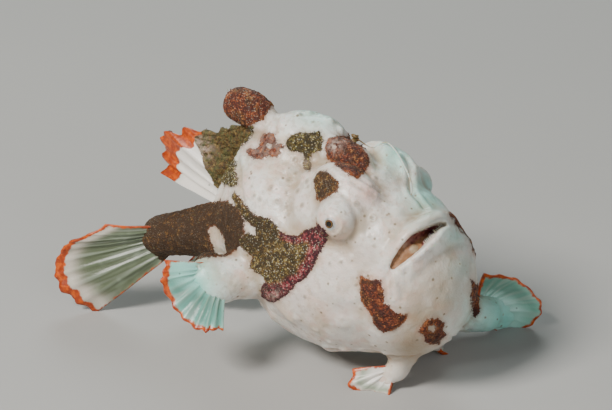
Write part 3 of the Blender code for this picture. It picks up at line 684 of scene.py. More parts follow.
PATCHES = (
    Patch("knob", Kind.RUST, ((273, 102), (269, 110), (264, 119), (254, 124), (246, 128),
                              (230, 126), (216, 118), (214, 100), (222, 86), (245, 80),
                              (262, 86)), 0.6, 0.3, pale=0.06),
    Patch("shoulder", Kind.RUST, ((261, 137), (264, 133.5), (270, 132.8), (276, 135), (277, 141),
                                  (276, 145), (280, 143.5), (285, 145.5), (284, 148), (279.5, 149),
                                  (281, 153), (278, 157), (273, 157.5), (268, 155.5), (264, 159.5),
                                  (258, 159.8), (252, 158), (247, 154), (245.7, 151.5),
                                  (249, 148.5), (255, 149), (259, 146)), 0.15, 0.0,
          ((266.5, 144.5), (270.5, 144), (273, 146.5), (271, 148.5), (268, 147.5)),
          0.06, 0.24),
    Patch("nape", Kind.OLIVE, ((286, 143), (289, 137), (295, 134), (299, 132), (307, 133),
                               (313, 132), (320, 131), (322.5, 137), (324.5, 141), (322, 150),
                               (316, 152.5), (311, 154), (310.5, 160), (312, 166), (309, 172),
                               (305, 170), (302.5, 163), (304.5, 157), (303, 153.5), (297, 152),
                               (290, 151), (286.5, 147.5)), 0.7, 0.5, pale=-0.06),
    Patch("club", Kind.RUST, ((325, 147), (328, 139), (338, 136), (350, 136), (359, 145),
                              (366, 154), (370, 162), (366, 172), (357, 180), (348, 174.5),
                              (336, 166), (326.5, 157)), 0.35, 0.12),
    Patch("brow", Kind.BROWN, ((317, 173), (320, 171), (327, 171), (332, 176), (339, 181.5),
                               (338, 192), (331, 195.5), (321, 202.5), (316.5, 199), (315, 189),
                               (313.5, 181)), 0.7, 0.18, pale=-0.08),
    Patch("flank", Kind.MAROON, ((235, 190), (242, 201), (255.6, 214.5), (271, 219),
                                 (277, 225), (280, 229.8), (286.2, 234.4), (297, 236),
                                 (305.3, 229.8), (316, 226.7), (319, 223.7), (326.8, 231.3),
                                 (328.3, 239.7), (319, 255), (314.5, 265), (307.6, 276.5),
                                 (297.7, 283.3), (290, 292.5), (274.7, 303.2), (267.8, 300.2),
                                 (261, 295.6), (261.7, 285.6), (266.3, 281), (261, 275),
                                 (250.2, 268.8), (249.5, 262.7), (253.3, 256.6), (244, 250.4),
                                 (239.5, 243.6), (240.3, 236), (248, 232.8), (255.6, 235),
                                 (255, 228), (246, 221), (238, 210), (232, 197)), 1.0, 0.6),
    Patch("cheek", Kind.RUST, ((359.6, 276.5), (363, 274.6), (366, 278.4), (376, 279.4),
                               (381.6, 279.8), (384.4, 291.8), (384.4, 301.4), (392, 308.5),
                               (398, 312.8), (407.4, 313.8), (407, 319.5), (401.7, 324.8),
                               (392, 330.6), (383.5, 332.5), (378, 328.6), (373.4, 322.4),
                               (370.6, 312.8), (364.4, 305.7), (360.5, 298.5)), 0.12, 0.02),
    Patch("chin", Kind.RUST, ((418, 331.3), (424, 322.7), (428.2, 318), (437, 318.4),
                              (444.4, 322.7), (443, 330), (447.3, 335.1), (440.6, 339.9),
                              (438.7, 344), (430, 344), (424.4, 341.4), (424, 335)), 0.0, 0.0,
          ((428, 326), (433, 324.5), (435.5, 328), (433, 331.5), (428.5, 330.5))),
    Patch("far_cheek", Kind.RUST, ((446, 212), (453, 214), (461, 222), (470, 231), (480, 244),
                                   (480, 253), (472.5, 253), (470.5, 245), (465, 236),
                                   (456, 226)), 0.0, 0.0),
    Patch("far_jaw", Kind.RUST, ((470, 279), (474, 281), (479, 290), (480, 312), (474, 319),
                                 (471.5, 310), (470, 292)), 0.0, 0.0),
    Patch("fin_base", Kind.OLIVE, ((190, 142), (205, 134), (226, 128), (240, 124), (254, 126),
                                   (254, 133), (248, 143), (240, 147), (235, 152), (237, 172),
                                   (238, 186), (232, 188), (224, 184), (218, 176), (216, 164),
                                   (203, 162), (195, 155)), 0.8, 1.0),
    # The tail stem's pale of -0.30 darkens it as painted shade, for it lies in shadow.
    Patch("tail_stem", Kind.BROWN, ((118, 226), (155, 214), (190, 206), (228, 200), (242, 212),
                                    (246, 232), (238, 250), (228, 256), (180, 262),
                                    (126, 262)), 0.16, 0.10,
          ((209, 230), (214, 226), (220, 230), (225, 240), (227, 254), (219, 256), (212, 245)),
          -0.30),
)

# Where the flank's patch is maroon instead of olive, in pixels.
MAROON_ZONE = ((281, 231), (300, 238), (318, 221), (331, 229), (331, 243), (318, 263), (306, 283),
               (292, 297), (275, 308), (258, 302), (262, 285), (284, 282), (299, 273), (308, 256),
               (309, 243), (297, 243), (283, 239))

# Parts of patches that are faded to a pale pink, as pixels, a radius and a strength.
FADED = ((335, 147, 6, 0.85), (345, 141, 4, 0.4), (307, 164, 6, 0.30), (200, 150, 12, 0.75),
         (275, 295, 8, 0.35))

# Parts of the flank's patch that are darker, as pixels, a radius and a strength.
DARKENED = ((258, 218, 18, 0.26), (268, 228, 14, 0.26), (247, 243, 11, 0.30))

# Lumps of the skin that show along its edges: pixels, a radius and a height in millimetres.
LUMPS = (
    (297, 114, 1.2, 0.35), (309, 113, 1.3, 0.50), (320, 116, 1.1, 0.35), (331, 121, 1.3, 0.50),
    (341, 130, 1.2, 0.40), (281, 124, 1.2, 0.35), (240, 152, 1.1, 0.35), (388, 150, 2.2, 0.45),
    (345, 348, 1.3, 0.35), (366, 351, 1.2, 0.30), (330, 342, 1.2, 0.30), (296, 318, 1.2, 0.25),
    (316, 330, 1.1, 0.25), (385, 352, 1.0, 0.25), (352, 300, 1.0, 0.18), (330, 285, 0.9, 0.15),
    (472, 262, 1.2, 0.25), (466, 240, 1.1, 0.20),
)

SPOTS = (
    Spot((-10.5, -1.0, 47.0), 5.2, Kind.RUST),
    Spot((14.0, 2.2, 45.0), 2.6, Kind.RUST),
    Spot((-12.0, 3.5, 33.0), 3.6, Kind.OLIVE),
    Spot((-11.5, 3.0, 27.0), 3.0, Kind.OLIVE),
    Spot((-16.0, 3.0, 20.0), 4.2, Kind.OLIVE),
    Spot((-22.0, -2.0, 17.5), 3.4, Kind.OLIVE),
    Spot((-18.0, -4.0, 12.0), 3.0, Kind.OLIVE),
    Spot((4.0, 15.5, 31.0), 4.2, Kind.MAROON),
    Spot((8.5, 16.5, 27.0), 4.8, Kind.MAROON),
    Spot((6.0, 16.5, 22.5), 3.4, Kind.MAROON),
    Spot((0.5, 13.5, 36.0), 2.6, Kind.OLIVE),
    Spot((9.0, 10.5, 40.0), 2.4, Kind.RUST),
    Spot((12.0, 9.5, 42.5), 1.8, Kind.RUST),
    Spot((22.0, 17.0, 22.0), 3.0, Kind.RUST),
    Spot((24.0, 16.5, 18.5), 2.4, Kind.RUST),
    Spot((-8.0, 9.5, 16.0), 3.0, Kind.RUST),
    Spot((3.0, 10.0, 6.0), 2.2, Kind.OLIVE),
    Spot((10.0, 3.0, 2.0), 2.6, Kind.RUST),
    Spot((12.0, 1.0, 2.0), 1.8, Kind.RUST),
)

# Pores with a pale olive ring, as they show from the front right: pixels and a radius in mm.
PORES = (
    (294.4, 159.5, 0.50), (288.8, 180, 0.42), (307, 181.4, 0.40), (271, 188, 0.45),
    (287, 193, 0.34), (298, 191, 0.40), (308, 186.6, 0.26), (260, 199, 0.35), (278, 201, 0.42),
    (302.4, 205.3, 0.38), (287, 206, 0.26), (289, 214.5, 0.26), (254.5, 195.4, 0.26),
    (295.6, 173.4, 0.34), (334.7, 236, 0.22), (356, 204, 0.42), (373, 218, 0.55),
    (369, 236, 0.26), (374, 245.5, 0.28), (387, 137, 0.30), (301, 115, 0.34), (313, 122, 0.26),
    (329.5, 263.5, 0.24), (305, 297, 0.30), (375, 178, 0.30), (341, 262, 0.28), (356, 285, 0.24),
    (361, 309, 0.24), (346, 240, 0.22), (197.5, 267.7, 0.55),
)

# Furrows, as pixels along each, with its width and depth in millimetres.
FURROWS = (
    (((390, 272), (391, 283), (392, 297)), 0.35, 0.22),
    (((385.5, 268), (386, 284), (388.5, 302)), 0.40, 0.16),
    (((397, 271), (400, 286), (402, 300)), 0.40, 0.16),
    (((408, 262), (404, 276), (405, 292)), 0.55, 0.14),
    (((330, 349), (345, 352.5), (368, 354), (385, 357), (411, 355)), 0.55, 0.45),
    (((472, 318), (463, 328), (450, 337)), 0.40, 0.40),
    (((352, 182), (362, 189), (374, 194)), 0.45, 0.25),
    (((358, 178), (370, 186), (380, 192)), 0.35, 0.20),
    (((384, 218), (400, 215), (420, 214)), 0.30, 0.12),
    (((406, 158), (410, 168), (411, 180), (413, 194), (424, 207)), 0.60, 0.45),
    (((372, 147), (373, 156), (377, 166)), 1.00, 0.60),
    (((343, 196), (352, 205), (357, 220), (352, 238)), 0.60, 0.18),
    (((283, 113), (278, 120), (276, 130)), 0.70, 0.25),
    (((235, 140), (238, 160), (240, 180), (243, 200)), 0.60, 0.45),
)

TURRETS = {
    RIGHT: ((21.8, -11.0, 35.8), (0.236, -0.965, 0.114)),
    LEFT: ((21.8, 10.5, 34.4), (0.0, 0.95, 0.312)),
}


@dataclass(frozen=True)
class Mouth:
    """The line where the lips meet: an arch across the front of the head.

    It is told apart on the fish's right and left, in that order, because it is askew.
    """

    middle: float = -1.8
    reach: tuple = (9.1, 11.6)
    arch: tuple = (3.0, 1.8)
    top: tuple = (37.2, 34.9)
    drop: tuple = (3.4, 6.5)
    beyond_corner: float = 2.6
    inward: tuple = (-0.75, 0.0, -0.65)
    depth: float = 8.5
    gap: float = 2.9
    shut_gap: float = 0.3
    narrower: tuple = (0.35, 0.85)
    middle_share: float = 0.2
    droop: float = 0.70
    pout: float = 0.45

    def way(self) -> Vector:
        """Give the way into the mouth."""
        return Vector(self.inward).normalized()

    def up(self) -> Vector:
        """Give the way from the lower lip to the upper."""
        way = self.way()
        return Vector((way.z, 0.0, -way.x))

    def across(self, y: np.ndarray) -> np.ndarray:
        """Give how far across places lie: -1 at the right corner and 1 at the left."""
        away = np.asarray(y) - self.middle
        return away / np.where(away < 0.0, *self.reach)

    def place_across(self, t: float) -> float:
        """Give the distance across of a share of the way to a corner."""
        return self.middle + t * self.reach[0 if t < 0.0 else 1]

    def lines(self, y: np.ndarray) -> np.ndarray:
        """Give rows of places on the line at distances across."""
        across = self.across(y)
        t = np.abs(across)
        arch = np.where(across < 0.0, *self.arch)
        fall = np.where(t < 1.0, t ** arch, 1.0 + self.beyond_corner * (t - 1.0))
        return np.stack((self.top[0] - self.drop[0] * t * t, np.asarray(y, float),
                         self.top[1] - self.drop[1] * fall), axis=-1)

    def line(self, y: float) -> Vector:
        """Give one place on the line at a distance across."""
        return Vector(self.lines(y))

    def opening(self, y: np.ndarray, inward: np.ndarray) -> np.ndarray:
        """Give how far the mouth stands open at distances across and inwards."""
        across = self.across(y)
        t = np.minimum(np.abs(across), 1.0)
        right = self.narrower[0] * (1.0 - t) ** 2
        share = np.exp(-(t / self.middle_share) ** 2)
        left = self.narrower[1] + (right - self.narrower[1]) * share
        wide = np.sqrt(1.0 - t ** 4) * (1.0 - np.where(across > 0.0, left, right))
        closing = 1.0 - np.clip(inward, 0.0, self.depth) / self.depth
        return self.shut_gap + (self.gap - self.shut_gap) * wide * closing

    def hang(self, y: np.ndarray) -> np.ndarray:
        """Give how far the lower lip hangs below the jaw's solid edge."""
        across = self.across(y)
        droop = self.droop * np.exp(-((across + 0.6) / 0.36) ** 2)
        droop -= self.pout * np.exp(-((across - 0.08) / 0.15) ** 2)
        return droop * np.sqrt(np.clip(1.0 - across ** 2, 0.0, 1.0))

    def measure(self, places: np.ndarray) -> tuple:
        """Measure rows of places against the mouth.

        Args:
            places: Rows of places in the fish's frame.

        Returns:
            How far inwards each lies, how far above the line, half the opening there and how
            far across as a share of the mouth.
        """
        away = places - self.lines(places[:, 1])
        inwards = away @ np.array(self.way())
        above = away @ np.array(self.up())
        half = self.opening(places[:, 1], inwards) / 2
        return inwards, above, half, np.abs(self.across(places[:, 1]))


@dataclass
class Bed:
    """Places that grains and tufts may stand on, the way each faces and its numbers."""

    places: np.ndarray
    facing: np.ndarray
    values: dict

    @staticmethod
    def join(beds: list) -> "Bed":
        """Give one bed made of several."""
        return Bed(np.vstack([bed.places for bed in beds]),
                   np.vstack([bed.facing for bed in beds]),
                   {key: np.concatenate([bed.values[key] for bed in beds])
                    for key in beds[0].values})


@dataclass
class Skin:
    """One skin over the nodes of flesh, with its relief and its markings."""

    nodes: tuple = ("head", "lower_jaw", "torso", "tail", "pectoral_arm_left",
                    "pectoral_arm_right", "pelvic_leg_left", "pelvic_leg_right",
                    "second_dorsal_spine", "third_dorsal_spine")
    swell: float = 0.24
    voxel: float = 0.36
    smoothing: int = 14
    dome_radius: float = 4.35
    dome_reach: float = 75.0
    patch_height: float = 0.28
    carry_on: float = 1.0
    warts: int = 260
    mouth: Mouth = Mouth()
    seed: int = 5

    def fuse(self) -> bpy.types.Mesh:
        """Fuse copies of the flesh nodes into one closed surface.

        Returns:
            The mesh, in metres.
        """
        bm = bmesh.new()
        for name in self.nodes:
            part = bmesh.new()
            part.from_mesh(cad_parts[name].data)
            bmesh.ops.remove_doubles(part, verts=part.verts, dist=1e-6)
            part.normal_update()
            for vert in part.verts:
                vert.co += vert.normal * self.swell * MM
            copy = bpy.data.meshes.new("copy")
            part.to_mesh(copy)
            part.free()
            bm.from_mesh(copy)
            bpy.data.meshes.remove(copy)
        for fin in FINS:
            if fin.fleshy:
                fin.add_flesh(bm)
        for centre, axis in TURRETS.values():
            fill = Matrix.Translation(OWN.place(Vector(centre) + Vector(axis) * 1.2))
            bmesh.ops.create_uvsphere(bm, u_segments=32, v_segments=20, radius=3.1 * MM,
                                      matrix=fill)
        mesh = bpy.data.meshes.new("fused")
        bm.to_mesh(mesh)
        bm.free()
        item = bpy.data.objects.new("fused", mesh)
        bpy.context.scene.collection.objects.link(item)
        fuse = item.modifiers.new("fuse", "REMESH")
        fuse.mode = "VOXEL"
        fuse.voxel_size = self.voxel * MM
        smooth = item.modifiers.new("smooth", "SMOOTH")
        smooth.factor = 0.5
        smooth.iterations = self.smoothing
        return evaluated(item)

    def measure(self, mesh: bpy.types.Mesh) -> None:
        """Read the mesh's places and the way that each faces."""
        count = len(mesh.vertices)
        flat = np.empty(count * 3)
        mesh.vertices.foreach_get("co", flat)
        self.places = OWN.own(flat.reshape(-1, 3))
        mesh.vertices.foreach_get("normal", flat)
        self.facing = flat.reshape(-1, 3).copy()

    def write(self, mesh: bpy.types.Mesh) -> None:
        """Write the places back to the mesh."""
        rows = (self.places + np.array(OWN.shift)) * MM
        mesh.vertices.foreach_set("co", rows.ravel())
        mesh.update()

    def settle(self) -> None:
        """Sink the skin back to the nodes' faces, and round the eyes' turrets."""
        self.places -= self.facing * self.swell * 0.75
        for centre, axis in TURRETS.values():
            away = self.places - np.array(centre)
            reach = np.linalg.norm(away, axis=1)
            angle = np.degrees(np.arccos(np.clip(away @ np.array(axis) / reach, -1.0, 1.0)))
            share = (1.0 - ease(angle, 35.0, self.dome_reach)) * (reach < 6.5)
            crease = 0.14 * np.exp(-((angle - 24.5) / 2.6) ** 2)
            lid = 0.10 * np.exp(-((angle - 31.0) / 4.0) ** 2)
            wanted = self.dome_radius - crease + lid
            dome = np.array(centre) + away * (wanted / reach)[:, None]
            self.places += (dome - self.places) * share[:, None]

    def visible(self, tree: BVHTree) -> np.ndarray:
        """Tell which places the camera sees."""
        eye = np.array(SIGHT.eye)
        towards = eye - self.places
        towards /= np.linalg.norm(towards, axis=1)[:, None]
        seen = np.sum(towards * self.facing, axis=1) > 0.03
        starts = (self.places + self.facing * 0.25).tolist()
        for number in np.flatnonzero(seen):
            hit = tree.ray_cast(starts[number], towards[number].tolist(), 90.0)
            if hit[0] is not None:
                seen[number] = False
        return seen

    def own_tree(self, mesh: bpy.types.Mesh) -> BVHTree:
        """Give a search tree of the skin in the fish's own millimetres."""
        faces = [tuple(face.vertices) for face in mesh.polygons]
        return BVHTree.FromPolygons(self.places.tolist(), faces)

    def claim(self, rows: np.ndarray, inside: np.ndarray, **values: object) -> None:
        """Give rows of the skin to a patch where they lie further inside it than any other.

        Args:
            rows: Numbers of the skin's places.
            inside: How many millimetres each lies inside the patch.
            values: What the patch has: one number, or one for each row.
        """
        better = inside > self.patch[rows]
        for name, value in {"patch": inside, **values}.items():
            getattr(self, name)[rows[better]] = np.broadcast_to(value, len(rows))[better]

    def paint_patches(self, seen: np.ndarray) -> None:
        """Work out how far each place lies inside a patch, and of what kind the patch is."""
        count = len(self.places)
        self.patch = np.full(count, -9.0)
        self.kinds = np.zeros(count, int)
        self.grit = np.zeros(count)
        self.fuzz = np.zeros(count)
        self.pale = np.zeros(count)
        self.bleach = np.zeros(count)
        shown = np.flatnonzero(seen)
        points = SIGHT.picture(self.places[shown])
        for patch in PATCHES:
            inside = how_far_inside(points, patch.outline)
            if patch.hole:
                inside = np.minimum(inside, -how_far_inside(points, patch.hole))
            self.claim(shown, inside / SIGHT.pixels_per_mm, kinds=patch.kind.value,
                       grit=patch.grit, fuzz=patch.fuzz, pale=patch.pale,
                       bleach=patch.bleach)
        inner = np.flatnonzero(seen & (self.patch > 0.0))
        tree = KDTree(len(inner))
        for number in inner:
            tree.insert(self.places[number], number)
        tree.balance()
        hidden = np.flatnonzero(~seen)
        places = self.places[hidden]
        found = [tree.find(place) for place in places]
        nearest = np.array([item[1] for item in found])
        inside = self.carry_on - np.array([item[2] for item in found])
        self.claim(hidden, inside, kinds=self.kinds[nearest], grit=self.grit[nearest],
                   fuzz=self.fuzz[nearest], pale=self.pale[nearest],
                   bleach=self.bleach[nearest])
        wobble = rough(places, 3.2, 9.1, 3) * 1.7
        for spot in SPOTS:
            inside = spot.radius - np.linalg.norm(places - np.array(spot.centre), axis=1)
            self.claim(hidden, inside + wobble, kinds=spot.kind.value, grit=spot.grit,
                       fuzz=spot.fuzz, pale=0.0, bleach=0.0)
        self.olive = (self.kinds == Kind.OLIVE.value) + 0.62 * (self.kinds == Kind.BROWN.value)
        self.maroon = (self.kinds == Kind.MAROON.value).astype(float)

    def shade_maroon(self, seen: np.ndarray) -> None:
        """Let most of the maroon patches turn olive, and parts of others fade."""
        wander = rough(self.places, 3.0, 7.7)
        middle = ease(self.patch + wander * 0.8, 0.5, 1.9)
        points = SIGHT.picture(self.places)
        redder = ease(how_far_inside(points, MAROON_ZONE) + 3.0 * wander, -3.0, 3.0)
        olive = np.where(seen, 1.0 - 0.92 * redder, 0.72 * middle) * self.maroon
        self.maroon -= olive
        self.olive = np.maximum(self.olive, 0.85 * olive)
        self.bleach = np.maximum(self.bleach, glow(points, FADED) * seen)
        dark = glow(points, DARKENED) * seen
        self.pale -= dark
        self.fuzz *= 1.0 - 2.0 * dark

    def tint(self) -> None:
        """Work out the marks of brownish tint mixed with painted shade, the pink tints, the
        painted bluish-green light, and the lining of the mouth.
        """
        points = SIGHT.picture(self.places)
        inwards, above, half, share = self.mouth.measure(self.places)
        self.inside = ease(inwards, 0.5, 1.3) * (share < 1.0)
        self.inside *= 1.0 - ease(np.abs(above) - half, 0.5, 1.3)
        self.inside *= inwards < self.mouth.depth + 2.0
        # These marks mix the skin's own brownish tint with painted shade: under the chin and the
        # belly, on the lower cheek, right of the right eye's turret and above the upper lip.
        self.tan = glow(points, ((420, 316, 28, 0.78), (438, 286, 34, 0.66),
                                      (412, 296, 16, 0.62), (462, 268, 18, 0.45),
                                      (359, 227, 11, 0.60), (372, 219, 7, 0.35),
                                      (405, 214, 9, 0.45), (394, 238, 8, 0.45),
                                      (391, 262, 6, 0.35), (330, 300, 14, 0.20),
                                      (318, 200, 10, 0.22), (352, 325, 12, 0.22),
                                      (296, 227, 9, 0.55), (393, 250, 10, 0.30),
                                      (420, 214, 22, 0.50), (250, 122, 6, 0.40),
                                      (412, 347, 30, 0.85), (372, 248, 16, 0.18),
                                      (350, 262, 40, 0.15), (352, 336, 44, 0.17),
                                      (300, 312, 30, 0.10)))
        self.pink = glow(points, ((368, 193, 13, 0.60), (386, 288, 12, 0.40),
                                       (334, 262, 11, 0.22), (300, 204, 12, 0.18),
                                       (345, 312, 12, 0.20),
                                       (300, 290, 30, 0.22), (345, 262, 30, 0.20),
                                       (412, 300, 10, 0.25)))
        # Painted bluish-green light: along the top of the head, the brow, the snout, the far
        # cheek, the left arm and around the right fan.
        self.teal_light = glow(points, ((318, 108, 24, 0.50), (396, 156, 20, 0.60),
                                       (428, 192, 24, 0.66), (455, 236, 14, 0.42),
                                       (503, 318, 36, 0.85), (186, 284, 30, 0.95),
                                       (462, 268, 16, 0.22), (236, 160, 10, 0.20)))
        # The painted marks fade on the sides that face away from the camera.
        towards = np.array(SIGHT.eye) - self.places
        towards /= np.linalg.norm(towards, axis=1)[:, None]
        shown = ease(np.sum(towards * self.facing, axis=1), -0.35, 0.15)
        self.tan *= shown
        self.teal_light *= 0.25 + 0.75 * shown
        side = (share < 1.05) * (np.abs(inwards) < 3.0)
        band = np.exp(-((above + half + self.mouth.hang(self.places[:, 1]) + 0.5) / 0.9) ** 2)
        self.tan *= 1.0 - band * side
        # Painted shade, with some brownish tint, just above the upper lip along the mouth's
        # opening.
        edge = np.exp(-((above - half - 0.10) / 0.35) ** 2) * ease(inwards, -0.6, 0.2) * side
        self.tan = np.maximum(self.tan, 0.6 * edge)

    def find_hollows(self, mesh: bpy.types.Mesh) -> None:
        """Work out how deep in a hollow each place lies, for the shade painted into it."""
        count = len(self.places)
        edges = np.empty(len(mesh.edges) * 2, np.int32)
        mesh.edges.foreach_get("vertices", edges)
        first, second = edges.reshape(-1, 2).T
        joined = np.bincount(edges, minlength=count)

        def mean(values: np.ndarray) -> np.ndarray:
            """Give the mean of each place's neighbours."""
            total = np.bincount(first, values[second], count)
            return (total + np.bincount(second, values[first], count)) / joined

        bend = sum((mean(self.places[:, axis]) - self.places[:, axis]) * self.facing[:, axis]
                   for axis in range(3))
        for turn in range(8):
            bend = (bend + mean(bend)) / 2
        broad = bend
        for turn in range(60):
            broad = (broad + mean(broad)) / 2
        self.hollow = np.clip(bend / 0.022, 0.0, 0.6) + np.clip(broad / 0.008, 0.0, 0.6)

    def raise_patches(self) -> None:
        """Raise the patches as a rough crust."""
        lumps = rough(self.places, 0.8, 3.1, 3)
        crust = ease(self.patch + 0.35 * lumps, -0.25, 0.55)
        height = crust * (self.patch_height + 0.16 * lumps)
        self.places += self.facing * height[:, None]

    def raise_warts(self) -> None:
        """Scatter small warts, and sink the pores that show, each with its ring."""
        draw = random.Random(self.seed)
        tree = KDTree(len(self.places))
        for number, place in enumerate(self.places):
            tree.insert(place, number)
        tree.balance()
        self.pore = np.zeros(len(self.places))
        height = 0.12 * rough(self.places, 3.2, 1.3, 3)
        inwards, above, half, share = self.mouth.measure(self.places)
        quiet = (np.abs(above) < 3.4) & (np.abs(inwards) < 4.0)
        for wart in range(self.warts):
            number = draw.randrange(len(self.places))
            radius = draw.uniform(0.45, 1.15)
            if self.patch[number] > -0.4 or quiet[number]:
                continue
            for place, other, distance in tree.find_range(self.places[number], radius):
                t = distance / radius
                height[other] += 0.20 * radius * (1.0 - t * t) ** 2
        for across, down, radius, rise in LUMPS:
            place, facing, face, distance = self.tree.ray_cast(SIGHT.eye, SIGHT.ray(across, down))
            if place is not None:
                for spot, other, away in tree.find_range(place, radius):
                    height[other] += rise * (1.0 - (away / radius) ** 2) ** 2
        for across, down, radius in PORES:
            place, facing, face, distance = self.tree.ray_cast(SIGHT.eye, SIGHT.ray(across, down))
            if place is None:
                continue
            for spot, other, away in tree.find_range(place, radius * 2.2):
                t = away / radius
                height[other] += 0.13 * math.exp(-((t - 1.0) / 0.45) ** 2) - 0.10 * math.exp(
                    -(t / 0.5) ** 2)
                self.pore[other] = max(self.pore[other], 0.90 * math.exp(-(t / 0.72) ** 2))
                self.tan[other] = max(self.tan[other], 0.6 * math.exp(-((t - 1.15) / 0.5) ** 2))
        self.places += self.facing * height[:, None]

    def press_furrows(self, seen: np.ndarray) -> None:
        """Press the furrows of the face and the belly into the skin."""
        for line, width, depth in FURROWS:
            marks = []
            for across, down in line:
                place, facing, face, distance = self.tree.ray_cast(
                    SIGHT.eye, SIGHT.ray(across, down))
                if place is not None:
                    marks.append(tuple(place))
            if len(marks) < 2:
                continue
            away = distance_to_line(self.places, marks)
            groove = -depth * np.exp(-(away / width) ** 2)
            banks = 0.45 * depth * np.exp(-((away - 2.0 * width) / width) ** 2)
            self.places += self.facing * (groove + banks)[:, None]

    def shape_lips(self) -> None:
        """Hang the lower lip and swell both lips along the edges of the open mouth."""
        inwards, above, half, share = self.mouth.measure(self.places)
        near = np.exp(-(np.maximum(0.0, -above - half) / 1.8) ** 2) * (above < 0.0)
        near *= np.exp(-(np.maximum(0.0, np.abs(inwards) - 2.5) / 2.0) ** 2)
        hang = self.mouth.hang(self.places[:, 1]) * near
        self.places -= np.array(self.mouth.up()) * hang[:, None]
        above = above - hang
        half = half + self.mouth.hang(self.places[:, 1]) * (above < 0.0)
        taper = np.sqrt(np.clip(1.0 - share * share, 0.0, 1.0)) * 0.7 + 0.3
        close = (share < 1.15) * (np.abs(inwards) < 3.0)
        lower = np.exp(-((above + half + 0.55) / 0.45) ** 2) * 0.10
        upper = np.exp(-((above - half - 0.65) / 0.7) ** 2) * 0.18
        crease = np.exp(-((above + half + 2.5) / 0.9) ** 2) * 0.30
        self.places += self.facing * ((lower + upper + crease) * taper * close)[:, None]

    def bed(self) -> Bed:
        """Give the skin as a bed for grains and tufts."""
        return Bed(self.places, self.facing, {name: getattr(self, name) for name in (
            "patch", "olive", "maroon", "pale", "bleach", "grit", "fuzz")})

    def make(self) -> bpy.types.Object:
        """Make the skin.

        Returns:
            The finished piece.
        """
        mesh = self.fuse()
        self.measure(mesh)
        self.settle()
        self.write(mesh)
        self.measure(mesh)
        self.tree = self.own_tree(mesh)
        seen = self.visible(self.tree)
        self.paint_patches(seen)
        self.shade_maroon(seen)
        self.tint()
        self.patch -= 9.0 * self.inside
        self.shape_lips()
        self.press_furrows(seen)
        self.raise_warts()
        self.raise_patches()
        self.write(mesh)
        self.measure(mesh)
        self.tree = self.own_tree(mesh)
        self.find_hollows(mesh)
        for name in ("patch", "olive", "maroon", "tan", "pink", "teal_light", "pore", "hollow",
                     "pale", "bleach", "fuzz"):
            set_values(mesh, name, getattr(self, name))
        set_values(mesh, "mouth", self.inside)
        return piece_of(mesh, "skin", SkinFinish().make(), Slot.SKIN, self.nodes)


